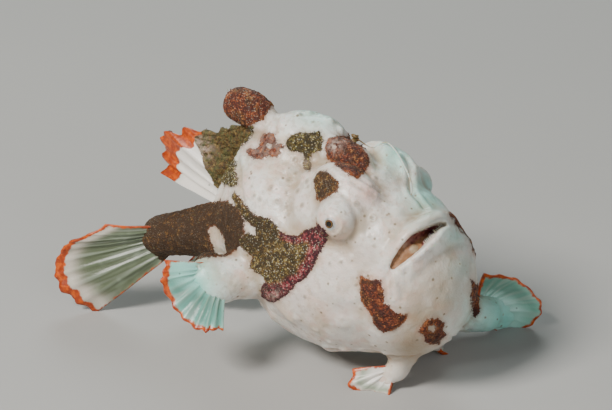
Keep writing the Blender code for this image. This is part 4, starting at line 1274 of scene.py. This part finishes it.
@dataclass
class Crumbs:
    """Small loose shapes that stand on the patches: rough grains and thin tufts of algae."""

    bed: Bed
    grains: int = 3800
    tufts: int = 950
    grain_radius: tuple = (0.07, 0.17)
    tuft_length: tuple = (0.25, 0.70)
    tuft_radius: float = 0.065
    lean: float = 0.5
    map_patch: float = 0.003
    seed: int = 21

    def seats(self, count: int, lowest: float, likely: str) -> list:
        """Pick places on the patches.

        Args:
            count: How many to pick.
            lowest: How far inside a patch they lie at the least.
            likely: The name of the numbers that say how likely each place is.

        Returns:
            The numbers of the places, in order of height and then way round.
        """
        draw = random.Random(self.seed + count)
        places = self.bed.places
        weights = self.bed.values[likely]
        inner = np.flatnonzero((self.bed.values["patch"] > lowest) & (weights > 0.0))
        picked = draw.choices(inner.tolist(), weights=weights[inner].tolist(), k=count)
        middle = places.mean(axis=0)
        side = max(1, int(math.sqrt(count)))
        picked.sort(key=lambda number: places[number][2])
        ordered = []
        for start in range(0, len(picked), side):
            row = picked[start:start + side]
            row.sort(key=lambda number: math.atan2(places[number][1] - middle[1],
                                                   places[number][0] - middle[0]))
            ordered.extend(row)
        return ordered

    def scatter(self, name: str, shape: bmesh.types.BMesh, seats: list, size: object,
                finish: bpy.types.Material) -> bpy.types.Object:
        """Join copies of one small shape, one at each seat.

        Args:
            name: The piece's name.
            shape: The shape, standing up along Z with its root at the origin, in millimetres.
            seats: Numbers of the skin's places.
            size: A function that draws each copy's width and length.
            finish: Its material.

        Returns:
            The finished piece.
        """
        draw = random.Random(self.seed)
        corners = np.array([vert.co for vert in shape.verts])
        faces = np.array([[vert.index for vert in face.verts] for face in shape.faces])
        shape.free()
        height = corners[:, 2] / corners[:, 2].max()
        points = []
        values = {key: [] for key in ("olive", "maroon", "pale", "bleach", "shade", "algae",
                                      "out")}
        for number in seats:
            up = self.bed.facing[number]
            lean = Vector([draw.gauss(0.0, self.lean) for axis in range(3)])
            turn = Vector((0, 0, 1)).rotation_difference(Vector(up) + lean).to_matrix()
            turn = turn @ Matrix.Rotation(draw.uniform(0.0, math.tau), 3, "Z")
            width, length = size(draw)
            root = self.bed.places[number] - up * 0.08 + np.array(
                [draw.uniform(-0.2, 0.2) for axis in range(3)])
            points.append(corners * (width, width, length) @ np.array(turn.transposed()) + root)
            olive = self.bed.values["olive"][number]
            for key, value in (("olive", olive), ("maroon", self.bed.values["maroon"][number]),
                               ("pale", self.bed.values["pale"][number]),
                               ("bleach", self.bed.values["bleach"][number]),
                               ("shade", draw.random()), ("algae", draw.random() ** 3 * olive),
                               ("out", height)):
                values[key].append(np.broadcast_to(value, len(corners)))
        rows = (np.vstack(points) + np.array(OWN.shift)) * MM
        starts = np.arange(len(seats)) * len(corners)
        all_faces = (faces[None, :, :] + starts[:, None, None]).reshape(-1, faces.shape[1])
        mesh = bpy.data.meshes.new(name)
        mesh.from_pydata(rows.tolist(), [], all_faces.tolist())
        for key, lists in values.items():
            set_values(mesh, key, np.concatenate(lists))
        self.lay_out(mesh, len(seats), corners, faces)
        return piece_of(mesh, name, finish, Slot.PATCH, (), False)

    def lay_out(self, mesh: bpy.types.Mesh, count: int, corners: np.ndarray,
                faces: np.ndarray) -> None:
        """Give each copy a small patch of its own on a map, in the order of its seat."""
        side = math.ceil(math.sqrt(count))
        layer = mesh.uv_layers.new(name="OFBake")
        spread = corners[:, :2] / np.abs(corners[:, :2]).max() * self.map_patch / 2
        one = spread[faces.ravel()]
        cells = np.arange(count)
        origin = np.column_stack((cells % side, cells // side)) / side + 0.5 / side
        layer.data.foreach_set("uv", (one[None, :, :] + origin[:, None, :]).ravel())

    def make(self) -> None:
        """Make the grains and the tufts."""
        grain = bmesh.new()
        bmesh.ops.create_icosphere(grain, subdivisions=1, radius=1.0)
        low, high = self.grain_radius
        self.scatter("patch_grains", grain, self.seats(self.grains, 0.1, "grit"),
                     lambda draw: (draw.uniform(low, high), draw.uniform(low, high) * 0.7),
                     GrainFinish().make())
        tuft = bmesh.new()
        bmesh.ops.create_cone(tuft, cap_ends=False, segments=4, radius1=1.0, radius2=0.25,
                              depth=1.0, matrix=Matrix.Translation((0, 0, 0.5)))
        bmesh.ops.triangulate(tuft, faces=tuft.faces)
        short, long = self.tuft_length
        self.scatter("patch_fuzz", tuft, self.seats(self.tufts, 0.0, "fuzz"),
                     lambda draw: (self.tuft_radius, draw.uniform(short, long)),
                     FuzzFinish().make())


@dataclass
class Fin:
    """A fan of rays and membrane between a root line and a tip line."""

    name: str
    root: tuple
    tip: tuple
    rays: int
    scallop: float
    bow: float
    folds: tuple
    flesh: tuple = (0.30,)
    margin: tuple = (0.8,)
    side_margin: tuple = (0.3, 0.3)
    # How much painted shade darkens the web, across the fan.
    painted_web_shade: tuple = (0.5,)
    scab: tuple = (-1.0,)
    grit: float = 0.0
    fuzz: float = 0.0
    olive: float = 0.7
    maroon: float = 0.0
    pale: float = 0.0
    blush: float = 0.0
    # How much painted bluish-green light lies on the fin.
    teal_light: float = 0.0
    notches: tuple = ()
    ray_thickness: tuple = (1.7, 0.55)
    web_thickness: tuple = (1.0, 0.32)
    sink: float = 1.4
    fleshy: tuple = ()
    wedges: int = 6
    steps: int = 12
    rows: int = 34
    waver: float = 0.25

    def profile(self, values: tuple, u: float) -> float:
        """Give a value that changes across the fan."""
        return float(np.interp(u, np.linspace(0.0, 1.0, len(values)), values))

    def edge(self, u: float) -> float:
        """Give how far the fan reaches towards its tip line: less between the rays."""
        phase = (u * (self.rays - 1) + 0.5) % 1.0 - 0.5
        reach = 1.0 - self.scallop * math.sin(math.pi * phase) ** 2
        for place, width, depth in self.notches:
            reach -= depth * math.exp(-((u - place) / width) ** 2)
        return reach + 0.012 * noise.noise(Vector((u * 31.0, self.rays, 0.3)))

    def facing(self, u: float) -> Vector:
        """Give the way that the fan faces at a share of the way across it."""
        across = along(self.tip, min(1.0, u + 0.05)) - along(self.tip, max(0.0, u - 0.05))
        return (along(self.tip, u) - along(self.root, u)).cross(across).normalized()

    def add_flesh(self, bm: bmesh.types.BMesh) -> None:
        """Add the fan's fleshy root to a bmesh, as thin wedges side by side.

        Args:
            bm: The bmesh of the flesh that the skin is fused from.
        """
        rows = []
        for step in range(self.wedges + 1):
            u = step / self.wedges
            base = along(self.root, u)
            reach = 0.9 * max(0.2, self.profile(self.flesh, u))
            ends = ((base, self.fleshy[0]), (base.lerp(along(self.tip, u), reach), self.fleshy[1]))
            rise = self.facing(u)
            lifts = (0.0, self.bow * math.sin(math.pi * reach))
            rows.append([OWN.place(place + rise * (lift + side * thickness / 2))
                         for (place, thickness), lift in zip(ends, lifts) for side in (-1, 1)])
        for first, second in zip(rows, rows[1:]):
            corners = [bm.verts.new(place) for place in first + second]
            bmesh.ops.convex_hull(bm, input=corners)

    def sheet(self) -> bpy.types.Mesh:
        """Lay out the fan as a thin sheet with its thickness and colours.

        Returns:
            The mesh.
        """
        bm = bmesh.new()
        bmesh.ops.create_grid(bm, x_segments=(self.rays - 1) * self.steps,
                              y_segments=self.rows, size=0.5)
        group = bm.verts.layers.deform.verify()
        thickest = max(self.ray_thickness[0], self.web_thickness[0])
        root_width = sum((Vector(b) - Vector(a)).length for a, b in zip(self.root, self.root[1:]))
        tip_width = sum((Vector(b) - Vector(a)).length for a, b in zip(self.tip, self.tip[1:]))
        values = {key: [] for key in ("margin", "ridge", "painted_web_shade", "flesh", "patch", "blush",
                                      "streak")}
        fold_height, fold_count = self.folds
        for vert in bm.verts:
            u = vert.co.x + 0.5
            v = vert.co.y + 0.5
            phase = abs((u * (self.rays - 1) + 0.5) % 1.0 - 0.5)
            crusted = min(1.0, max(0.0, (self.profile(self.scab, u) - v) * 6.0))
            ridge = math.exp(-(phase / 0.20) ** 2) * (1.0 - 0.8 * crusted)
            base = along(self.root, u)
            end = along(self.tip, u)
            facing = self.facing(u)
            length = (end - base).length
            sink = self.sink / length
            reach = v * (1.0 + (self.edge(u) - 1.0) * v) * (1.0 + sink) - sink
            lift = self.bow * math.sin(math.pi * v)
            lift += fold_height * v * math.sin(2 * math.pi * fold_count * u)
            lift += self.waver * v * noise.noise(Vector((u * 9.0, v * 4.0, self.rays)))
            lift += 0.7 * crusted * noise.noise(Vector((u * 14.0, v * 11.0, 5.0)))
            vert.co = OWN.place(base.lerp(end, reach) + facing * lift)
            thin = min(1.0, max(0.0, v * 2.5))
            ray = self.ray_thickness[0] + (self.ray_thickness[1] - self.ray_thickness[0]) * (
                0.5 * v + 0.5 * thin)
            web = self.web_thickness[0] * (1.0 - thin) + self.web_thickness[1] * thin
            vert[group][0] = (web + (max(ray, web) - web) * ridge) / thickest
            width = root_width * (1.0 - v) + tip_width * v
            values["margin"].append(min((1.0 - v) * length - self.profile(self.margin, u),
                                        u * width - self.side_margin[0],
                                        (1.0 - u) * width - self.side_margin[1]))
            values["ridge"].append(ridge * (1.0 - 0.6 * v))
            # Painted shade: none at the root, rising outwards and fading at the margin.
            values["painted_web_shade"].append(self.profile(self.painted_web_shade, u) * min(1.0, max(0.0, v * 3.0)) * (
                1.0 - max(0.0, (v - 0.80) / 0.20) ** 2))
            values["streak"].append(0.5 + 0.7 * noise.noise(
                Vector((u * self.rays * 2.6, v * 1.5, self.rays))))
            flesh = self.profile(self.flesh, u)
            values["flesh"].append(1.0 - min(1.0, max(0.0, (v - flesh) / 0.25)))
            values["patch"].append((self.profile(self.scab, u) - v) * length)
            values["blush"].append(self.blush * math.exp(-((v - 0.89) / 0.08) ** 2))
        mesh = bpy.data.meshes.new(self.name)
        bm.to_mesh(mesh)
        bm.free()
        for key, numbers in values.items():
            set_values(mesh, key, np.array(numbers))
        for key in ("teal_light", "olive", "pale", "maroon"):
            set_values(mesh, key, np.full(len(mesh.vertices), getattr(self, key)))
        places = OWN.own(np.array([vert.co for vert in mesh.vertices]))
        set_values(mesh, "bleach", glow(SIGHT.picture(places), FADED))
        return mesh

    def make(self, finish: bpy.types.Material) -> bpy.types.Object:
        """Make the fin.

        Args:
            finish: Its material.

        Returns:
            The finished piece.
        """
        item = bpy.data.objects.new(self.name, self.sheet())
        bpy.context.scene.collection.objects.link(item)
        item.vertex_groups.new(name="thickness")
        wall = item.modifiers.new("wall", "SOLIDIFY")
        wall.thickness = max(self.ray_thickness[0], self.web_thickness[0]) * MM
        wall.offset = 0.0
        wall.vertex_group = "thickness"
        solid = bmesh.new()
        solid.from_mesh(evaluated(item))
        bmesh.ops.bisect_plane(solid, geom=solid.verts[:] + solid.edges[:] + solid.faces[:],
                               plane_co=(0, 0, 0.00001), plane_no=(0, 0, 1), clear_inner=True)
        open_edges = [edge for edge in solid.edges if edge.is_boundary]
        if open_edges:
            bmesh.ops.holes_fill(solid, edges=open_edges, sides=0)
        piece = piece_from(solid, self.name + "_web", finish, Slot.FIN, (self.name,))
        self.measure(piece.data)
        return piece

    def measure(self, mesh: bpy.types.Mesh) -> None:
        """Keep the fin's places as a bed for the grains and tufts of its scab."""
        count = len(mesh.vertices)
        flat = np.empty(count * 3)
        mesh.vertices.foreach_get("co", flat)
        places = OWN.own(flat.reshape(-1, 3))
        mesh.vertices.foreach_get("normal", flat)
        patch = np.empty(count, np.float32)
        mesh.attributes["patch"].data.foreach_get("value", patch)
        values = {key: np.full(count, getattr(self, key)) for key in (
            "olive", "maroon", "pale", "grit", "fuzz")}
        values["bleach"] = glow(SIGHT.picture(places), FADED)
        self.bed = Bed(places, flat.reshape(-1, 3).copy(),
                       {"patch": patch.astype(float) - 0.3, **values})


FINS = (
    Fin("soft_dorsal_fin",
        ((-5.0, -0.5, 39.0), (-9.5, -1.2, 34.5), (-12.5, -2.0, 28.5), (-13.5, -3.0, 24.5)),
        ((-9.5, -0.8, 43.5), (-20.0, -0.5, 38.0), (-32.0, -1.0, 35.5), (-31.0, -3.0, 26.5)),
        9, 0.06, 0.8, (1.0, 2.0), flesh=(0.8, 0.8, 0.8, 0.72, 0.68),
        margin=(0.0, 0.0, 2.2, 5.4, 4.8, 4.0), side_margin=(-2.0, -2.0), painted_web_shade=(0.1,),
        scab=(1.6, 1.6, 1.5, 1.1, 0.80, 0.42, 0.24, 0.14, 0.08),
        notches=((0.58, 0.05, 0.10), (0.76, 0.022, 0.12), (0.90, 0.02, 0.10)),
        grit=3.0, fuzz=4.0, olive=0.8, pale=-0.08,
        ray_thickness=(3.1, 1.8), web_thickness=(2.3, 1.2), sink=2.0),
    # The caudal fin's web takes the most painted shade.
    Fin("caudal_fin",
        ((-23.5, -7.6, 19.8), (-24.5, -8.2, 16.8), (-23.5, -7.6, 13.6)),
        ((-34.0, -17.0, 19.5), (-41.5, -21.5, 14.0), (-43.0, -23.0, 6.0), (-36.0, -19.0, -0.6)),
        9, 0.02, 1.0, (0.8, 1.5), flesh=(-0.1,), margin=(0.7, 1.2, 1.9, 2.2, 0.8),
        side_margin=(0.5, 0.1), painted_web_shade=(1.2, 1.3, 1.2), scab=(0.27, 0.24, 0.24), blush=0.65,
        grit=1.0, fuzz=1.5, olive=0.45, pale=-0.22, fleshy=(4.6, 0.8), sink=2.0),
    Fin("anal_fin",
        ((-7.0, -2.0, 14.0), (-12.0, -3.2, 15.5), (-17.0, -4.8, 16.5)),
        ((-12.0, -3.5, 5.0), (-18.5, -5.5, 3.5), (-24.0, -7.5, 7.5)),
        7, 0.04, 0.6, (0.5, 1.0), flesh=(0.4,), margin=(0.8, 1.3, 1.0), painted_web_shade=(0.6,), blush=0.4,
        teal_light=0.4, fleshy=(2.4, 0.7)),
    Fin("pectoral_fin_right",
        ((-3.4, -18.8, 21.3), (-2.4, -20.0, 18.6), (-0.2, -18.8, 15.6)),
        ((-8.5, -26.5, 23.2), (-8.0, -28.5, 19.0), (-2.5, -29.0, 15.0), (2.5, -28.0, 11.5),
         (5.0, -25.0, 12.0)),
        10, 0.04, 1.2, (1.2, 1.5), flesh=(0.80, 0.65, 0.35, 0.15, 0.2),
        margin=(0.7, 1.1, 0.3, 0.8, 0.1), side_margin=(0.1, -0.5),
        painted_web_shade=(0.1, 0.6, 0.9, 0.8, 0.4), teal_light=0.85, fleshy=(4.2, 0.7)),
    Fin("pectoral_fin_left",
        ((29.8, 23.4, 7.4), (31.2, 24.4, 5.2), (30.2, 23.6, 2.8)),
        ((30.0, 24.5, 13.0), (35.0, 30.5, 10.5), (37.8, 33.8, 4.8), (36.0, 31.0, -0.6),
         (32.5, 27.0, -0.8)),
        10, 0.03, 1.2, (1.0, 1.5), flesh=(0.20, 0.35, 0.60, 0.85, 0.85), teal_light=0.7,
        margin=(0.5, 0.4, 0.3, 0.5, 0.4), side_margin=(0.4, 0.2), painted_web_shade=(0.8, 0.7, 0.3, 0.1),
        fleshy=(4.0, 0.7)),
    Fin("pelvic_fin_right",
        ((29.8, -4.0, 4.6), (29.3, -4.9, 3.2), (30.6, -4.9, 2.0)),
        ((23.6, -8.8, 3.4), (24.0, -10.5, 0.0), (27.5, -9.0, -0.8), (31.5, -7.5, -0.8)),
        5, 0.05, 0.8, (0.4, 1.0), flesh=(0.55, 0.50), margin=(0.6, 0.7, 0.5), painted_web_shade=(0.3,),
        blush=0.9, fleshy=(2.6, 0.6)),
    Fin("pelvic_fin_left",
        ((27.0, 9.6, 4.4), (27.8, 11.2, 3.4), (29.6, 10.8, 2.4)),
        ((22.5, 12.0, 2.6), (23.0, 14.0, -0.3), (27.0, 14.8, -0.8), (30.8, 13.8, -0.8)),
        5, 0.05, 0.8, (0.4, 1.0), flesh=(0.55, 0.50), margin=(0.6, 0.7, 0.5), painted_web_shade=(0.3,),
        blush=0.9, fleshy=(2.6, 0.6)),
)


@dataclass
class Eye:
    """An eye: a white ball with a small black pupil in a gold ring, under a clear dome."""

    side: int
    ball_radius: float = 1.9
    ball_out: float = 2.74
    dome_radius: float = 1.25
    dome_out: float = 3.70
    pupil: float = 0.78
    ring: float = 0.12
    white: tuple = (0.84, 0.84, 0.82)
    pale: tuple = (0.62, 0.60, 0.54)
    gold: tuple = (0.48, 0.23, 0.04)
    black: tuple = (0.006, 0.006, 0.008)

    def ball_finish(self) -> bpy.types.Material:
        """Make the iris and pupil, measured from where the eye looks out of the ball."""
        centre, axis = TURRETS[self.side]
        front = OWN.place(Vector(centre) + Vector(axis) * (self.ball_out + self.ball_radius))
        n = Nodes("eye_ball_" + ("left" if self.side == LEFT else "right"))
        away = n.add("VectorMath", {"operation": "DISTANCE"},
                     {0: n.coordinates, 1: tuple(front)}).outputs["Value"]
        away = n.math("DIVIDE", away, MM)
        wander = n.math("MULTIPLY_ADD", n.noise(0.5, 2.0), 0.16, -0.08)
        away = n.math("ADD", away, wander)
        white = n.mix(n.step(n.noise(0.6, 3.0), 0.45, 0.7), self.white, self.pale)
        inner = self.pupil - self.ring
        colour = n.mix(n.step(away, self.pupil + 0.05, self.pupil - 0.02), white, self.black)
        colour = n.mix(n.step(away, inner + 0.03, inner - 0.03), colour, self.gold)
        inner -= self.ring
        colour = n.mix(n.step(away, inner + 0.03, inner - 0.03), colour, self.black)
        return n.finish(Base_Color=colour, Roughness=0.3, Subsurface_Weight=0.1,
                        Subsurface_Scale=0.0006, Coat_Weight=0.3)

    def dome_finish(self) -> bpy.types.Material:
        """Make the clear dome over the ball."""
        n = Nodes("eye_dome_" + ("left" if self.side == LEFT else "right"))
        shine = n.math("MULTIPLY_ADD", n.noise(0.8, 1.0), 0.03, 0.02)
        return n.finish(Base_Color=(0.97, 0.98, 0.98), Roughness=shine, IOR=1.12,
                        Transmission_Weight=1.0)

    def make(self) -> None:
        """Make the ball and the dome."""
        centre, axis = TURRETS[self.side]
        name = "left" if self.side == LEFT else "right"
        ball = ball_mesh(Vector(centre) + Vector(axis) * self.ball_out, self.ball_radius, 32)
        piece_from(ball, "eye_ball_" + name, self.ball_finish(), Slot.EYE, ("eye_" + name,))
        dome = ball_mesh(Vector(centre) + Vector(axis) * self.dome_out, self.dome_radius, 32)
        piece_from(dome, "eye_dome_" + name, self.dome_finish(), Slot.EYE)


@dataclass
class Jaws:
    """What shows in the open mouth: rows of small teeth and the lining with its pale flaps."""

    mouth: Mouth = Mouth()
    teeth: int = 64
    tooth_radius: float = 0.13
    tooth_length: tuple = (0.40, 0.85)
    lining_inward: float = 1.1
    lining_depth: float = 1.9
    bare_corner: float = -0.42
    flap_at: tuple = (0.55, 0.30)
    flap_size: tuple = (0.11, 0.20)
    flap_rise: float = 0.7
    seed: int = 3

    def tooth_finish(self) -> bpy.types.Material:
        """Make the clear pale enamel of the teeth."""
        n = Nodes("teeth")
        colour = n.mix(n.noise(0.4, 2.0), (0.82, 0.80, 0.72), (0.70, 0.62, 0.48))
        return n.finish(Base_Color=colour, Roughness=0.25, Subsurface_Weight=0.3,
                        Subsurface_Scale=0.0004)

    def lining_finish(self) -> bpy.types.Material:
        """Make the lining: tan low down and at the corners, maroon further up."""
        n = Nodes("mouth_lining")
        low = n.mix(n.step(n.noise(1.0, 3.0), 0.4, 0.7), (0.27, 0.125, 0.052), (0.38, 0.20, 0.10))
        high = n.mix(n.step(n.noise(0.8, 3.0), 0.4, 0.7), (0.12, 0.022, 0.02),
                     (0.30, 0.11, 0.08))
        height = n.math("MULTIPLY_ADD", n.noise(1.2, 3.0), 0.4, n.value("height"))
        share = n.math("MAXIMUM", n.step(height, 0.80, 0.55), n.value("corner"))
        colour = n.mix(n.step(n.value("flap"), 0.35, 0.70), n.mix(share, high, low),
                       (0.38, 0.27, 0.16))
        return n.finish(Base_Color=colour, Roughness=0.4, Coat_Weight=0.2,
                        Coat_Roughness=0.2, Normal=n.bump(n.noise(0.5, 3.0), 0.08))

    def make_teeth(self) -> None:
        """Make a row of teeth along each lip, with every other tooth further in."""
        draw = random.Random(self.seed)
        way = self.mouth.way()
        up = self.mouth.up()
        bm = bmesh.new()
        for number in range(self.teeth):
            t = (number + 0.5) / self.teeth * 2.0 - 1.0
            y = self.mouth.place_across(0.95 * t)
            if self.mouth.opening(y, 1.0) < 1.0 or t < self.bare_corner:
                continue
            for lower in (True, False):
                inward = draw.uniform(0.0, 0.3) + 0.5 * (number % 2)
                length = draw.uniform(*self.tooth_length) * (1.25 if lower else 0.6)
                sign = -1.0 if lower else 1.0
                out = float(self.mouth.opening(y, inward)) / 2 - 0.05
                if lower:
                    out += float(self.mouth.hang(y))
                surface = self.mouth.line(y) + way * inward + up * sign * out
                lean = -sign * up + way * draw.uniform(0.0, 0.4)
                turn = Vector((0, 0, 1)).rotation_difference(lean).to_matrix().to_4x4()
                middle = surface + lean.normalized() * length * 0.35
                bmesh.ops.create_cone(
                    bm, cap_ends=True, segments=6, radius1=self.tooth_radius * MM,
                    radius2=0.03 * MM, depth=length * MM,
                    matrix=Matrix.Translation(OWN.place(middle)) @ turn)
        piece_from(bm, "teeth", self.tooth_finish(), Slot.MOUTH)

    def make_lining(self) -> None:
        """Make the moist skin that closes the mouth a little behind the lips."""
        way = self.mouth.way()
        up = self.mouth.up()
        bm = bmesh.new()
        bmesh.ops.create_grid(bm, x_segments=120, y_segments=24, size=0.5)
        values = {"height": [], "corner": [], "flap": []}
        for vert in bm.verts:
            height = vert.co.y + 0.5
            across = vert.co.x * 2.0 * 0.99
            y = self.mouth.place_across(across)
            flap = math.exp(-((abs(across) - self.flap_at[0]) / self.flap_size[0]) ** 2)
            flap *= math.exp(-((height - self.flap_at[1]) / self.flap_size[1]) ** 2)
            deep = max(0.0, 1.0 - (across / 0.68) ** 2)
            inward = self.lining_inward + self.lining_depth * math.sin(math.pi * height) * deep
            half = float(self.mouth.opening(y, inward)) / 2 + 0.6
            crease = 0.14 * noise.noise(Vector((y * 0.9, height * 3.0, 1.0)))
            inward += crease - self.flap_rise * flap
            place = self.mouth.line(y) + way * inward + up * half * (height * 2.0 - 1.0)
            place -= up * float(self.mouth.hang(y)) * (1.0 - height)
            vert.co = OWN.place(place)
            values["height"].append(height)
            values["corner"].append(max(0.0, min(1.0, (abs(across) - 0.50) / 0.15)))
            values["flap"].append(flap)
        bmesh.ops.recalc_face_normals(bm, faces=bm.faces)
        mesh = bpy.data.meshes.new("mouth_lining")
        bm.to_mesh(mesh)
        bm.free()
        for key, numbers in values.items():
            set_values(mesh, key, np.array(numbers))
        item = bpy.data.objects.new("mouth_lining", mesh)
        bpy.context.scene.collection.objects.link(item)
        wall = item.modifiers.new("wall", "SOLIDIFY")
        wall.thickness = 0.4 * MM
        wall.offset = 0.0
        piece_of(evaluated(item), "mouth_lining", self.lining_finish(), Slot.MOUTH)

    def make(self) -> None:
        """Make the teeth and the lining."""
        self.make_teeth()
        self.make_lining()


@dataclass
class Lure:
    """The thin rod from the snout that lies back over the brow, with its bait."""

    line: tuple = ((29.3, 0.8, 35.8), (28.5, 1.8, 40.2), (25.4, 3.5, 42.6), (21.9, 5.3, 44.0),
                   (19.0, 6.0, 44.5), (16.4, 5.2, 43.0), (13.6, 4.1, 44.4))
    radius: tuple = (0.16, 0.12)
    bait: tuple = (1.1, 0.7, 0.6)
    rings: int = 60

    def finish(self) -> bpy.types.Material:
        """Make the pale skin of the rod, faintly banded."""
        n = Nodes("lure")
        colour = n.mix(n.step(n.noise(1.4, 3.0), 0.50, 0.66), (0.62, 0.70, 0.63),
                       (0.40, 0.36, 0.25))
        colour = n.mix(n.value("bait"), colour, n.mix(n.noise(0.5, 3.0), (0.07, 0.045, 0.012),
                                                      (0.26, 0.17, 0.06)))
        return n.finish(Base_Color=colour, Roughness=0.42, Subsurface_Weight=0.3,
                        Subsurface_Scale=0.0006, Normal=n.bump(n.noise(0.25, 2.0), 0.04))

    def rod(self, bm: bmesh.types.BMesh) -> None:
        """Make the rod from small rings, each bridged to the next."""
        before = []
        for step in range(self.rings + 1):
            t = step / self.rings
            ahead = along(self.line, min(1.0, t + 0.01)) - along(self.line, max(0.0, t - 0.01))
            turn = ahead.to_track_quat("Z", "Y").to_matrix().to_4x4()
            size = self.radius[0] + (self.radius[1] - self.radius[0]) * t
            ring = bmesh.ops.create_circle(
                bm, cap_ends=step in (0, self.rings), segments=10, radius=size * MM,
                matrix=Matrix.Translation(OWN.place(along(self.line, t))) @ turn)["verts"]
            edges = list({edge for vert in ring for edge in vert.link_edges})
            if before:
                bmesh.ops.bridge_loops(bm, edges=before + edges)
            before = edges
        bmesh.ops.recalc_face_normals(bm, faces=bm.faces)

    def make(self) -> None:
        """Make the rod and, at its end, the bait as ragged lobes."""
        bm = bmesh.new()
        self.rod(bm)
        end = Vector(self.line[-1])
        draw = random.Random(8)
        for lobe in range(5):
            away = Vector([draw.uniform(-0.5, 0.5) for axis in range(3)])
            turn = Matrix.Rotation(draw.uniform(0, 3.0), 4, "Y")
            stretch = Matrix.Diagonal((*[size * draw.uniform(0.45, 0.75) * MM
                                         for size in self.bait], 1.0))
            bmesh.ops.create_icosphere(
                bm, subdivisions=3, radius=1.0,
                matrix=Matrix.Translation(OWN.place(end + away)) @ turn @ stretch)
        mesh = bpy.data.meshes.new("lure_rod")
        bm.to_mesh(mesh)
        bm.free()
        end = OWN.place(end)
        away = np.array([(vert.co - end).length / MM for vert in mesh.vertices])
        set_values(mesh, "bait", 1.0 - ease(away, 1.4, 3.2))
        piece_of(mesh, "lure_rod", self.finish(), Slot.LURE, ("illicium",))


@dataclass
class Studio:
    """A plain pale floor and soft light."""

    floor_size: float = 6.0
    floor_colour: tuple = (0.43, 0.425, 0.41)

    def make_floor(self) -> None:
        """Make the floor."""
        n = Nodes("floor")
        colour = n.mix(n.noise(60.0, 2.0), self.floor_colour,
                       tuple(value * 0.96 for value in self.floor_colour))
        bm = bmesh.new()
        bmesh.ops.create_grid(bm, x_segments=1, y_segments=1, size=self.floor_size / 2)
        mesh = bpy.data.meshes.new("floor")
        bm.to_mesh(mesh)
        bm.free()
        mesh.materials.append(n.finish(Base_Color=colour, Roughness=0.85))
        floor = bpy.data.objects.new("floor", mesh)
        bpy.context.scene.collection.objects.link(floor)

    def make_light(self, name: str, place: tuple, size: float, power: float,
                   colour: tuple) -> None:
        """Make a square light that faces the fish.

        Args:
            name: Its name.
            place: Where it stands, in metres.
            size: The length of its sides in metres.
            power: Its power in watts.
            colour: Its colour.
        """
        data = bpy.data.lights.new(name, "AREA")
        data.shape = "SQUARE"
        data.size = size
        data.energy = power
        data.color = colour
        light = bpy.data.objects.new(name, data)
        aim = Vector((0.0, 0.0, 0.02)) - Vector(place)
        light.matrix_world = Matrix.Translation(place) @ aim.to_track_quat("-Z", "Y").to_matrix(
            ).to_4x4()
        bpy.context.scene.collection.objects.link(light)

    def make(self) -> None:
        """Make the floor, the lights and the pale surroundings."""
        self.make_floor()
        self.make_light("key", (-0.10, -0.60, 0.62), 0.24, 10.0, (1.0, 0.965, 0.92))
        self.make_light("fill", (0.75, -0.30, 0.35), 0.5, 1.8, (0.95, 0.97, 1.0))
        self.make_light("rim", (-0.45, 0.55, 0.55), 0.4, 3.0, (0.86, 0.98, 0.97))
        world = bpy.data.worlds.new("studio")
        world.use_nodes = True
        back = world.node_tree.nodes["Background"]
        back.inputs["Color"].default_value = (0.86, 0.90, 0.90, 1.0)
        back.inputs["Strength"].default_value = 0.14
        bpy.context.scene.world = world


def main() -> None:
    """Build the fish, the floor, the lights and the camera."""
    logging.basicConfig(level=logging.INFO, format="%(message)s")
    SIGHT.make_camera(OWN)
    skin = Skin()
    skin.make()
    web = FinFinish().make()
    for fin in FINS:
        fin.make(web)
    Crumbs(Bed.join([skin.bed()] + [fin.bed for fin in FINS])).make()
    for side in (RIGHT, LEFT):
        Eye(side).make()
    Jaws().make()
    Lure().make()
    Studio().make()


if __name__ == "__main__":
    main()
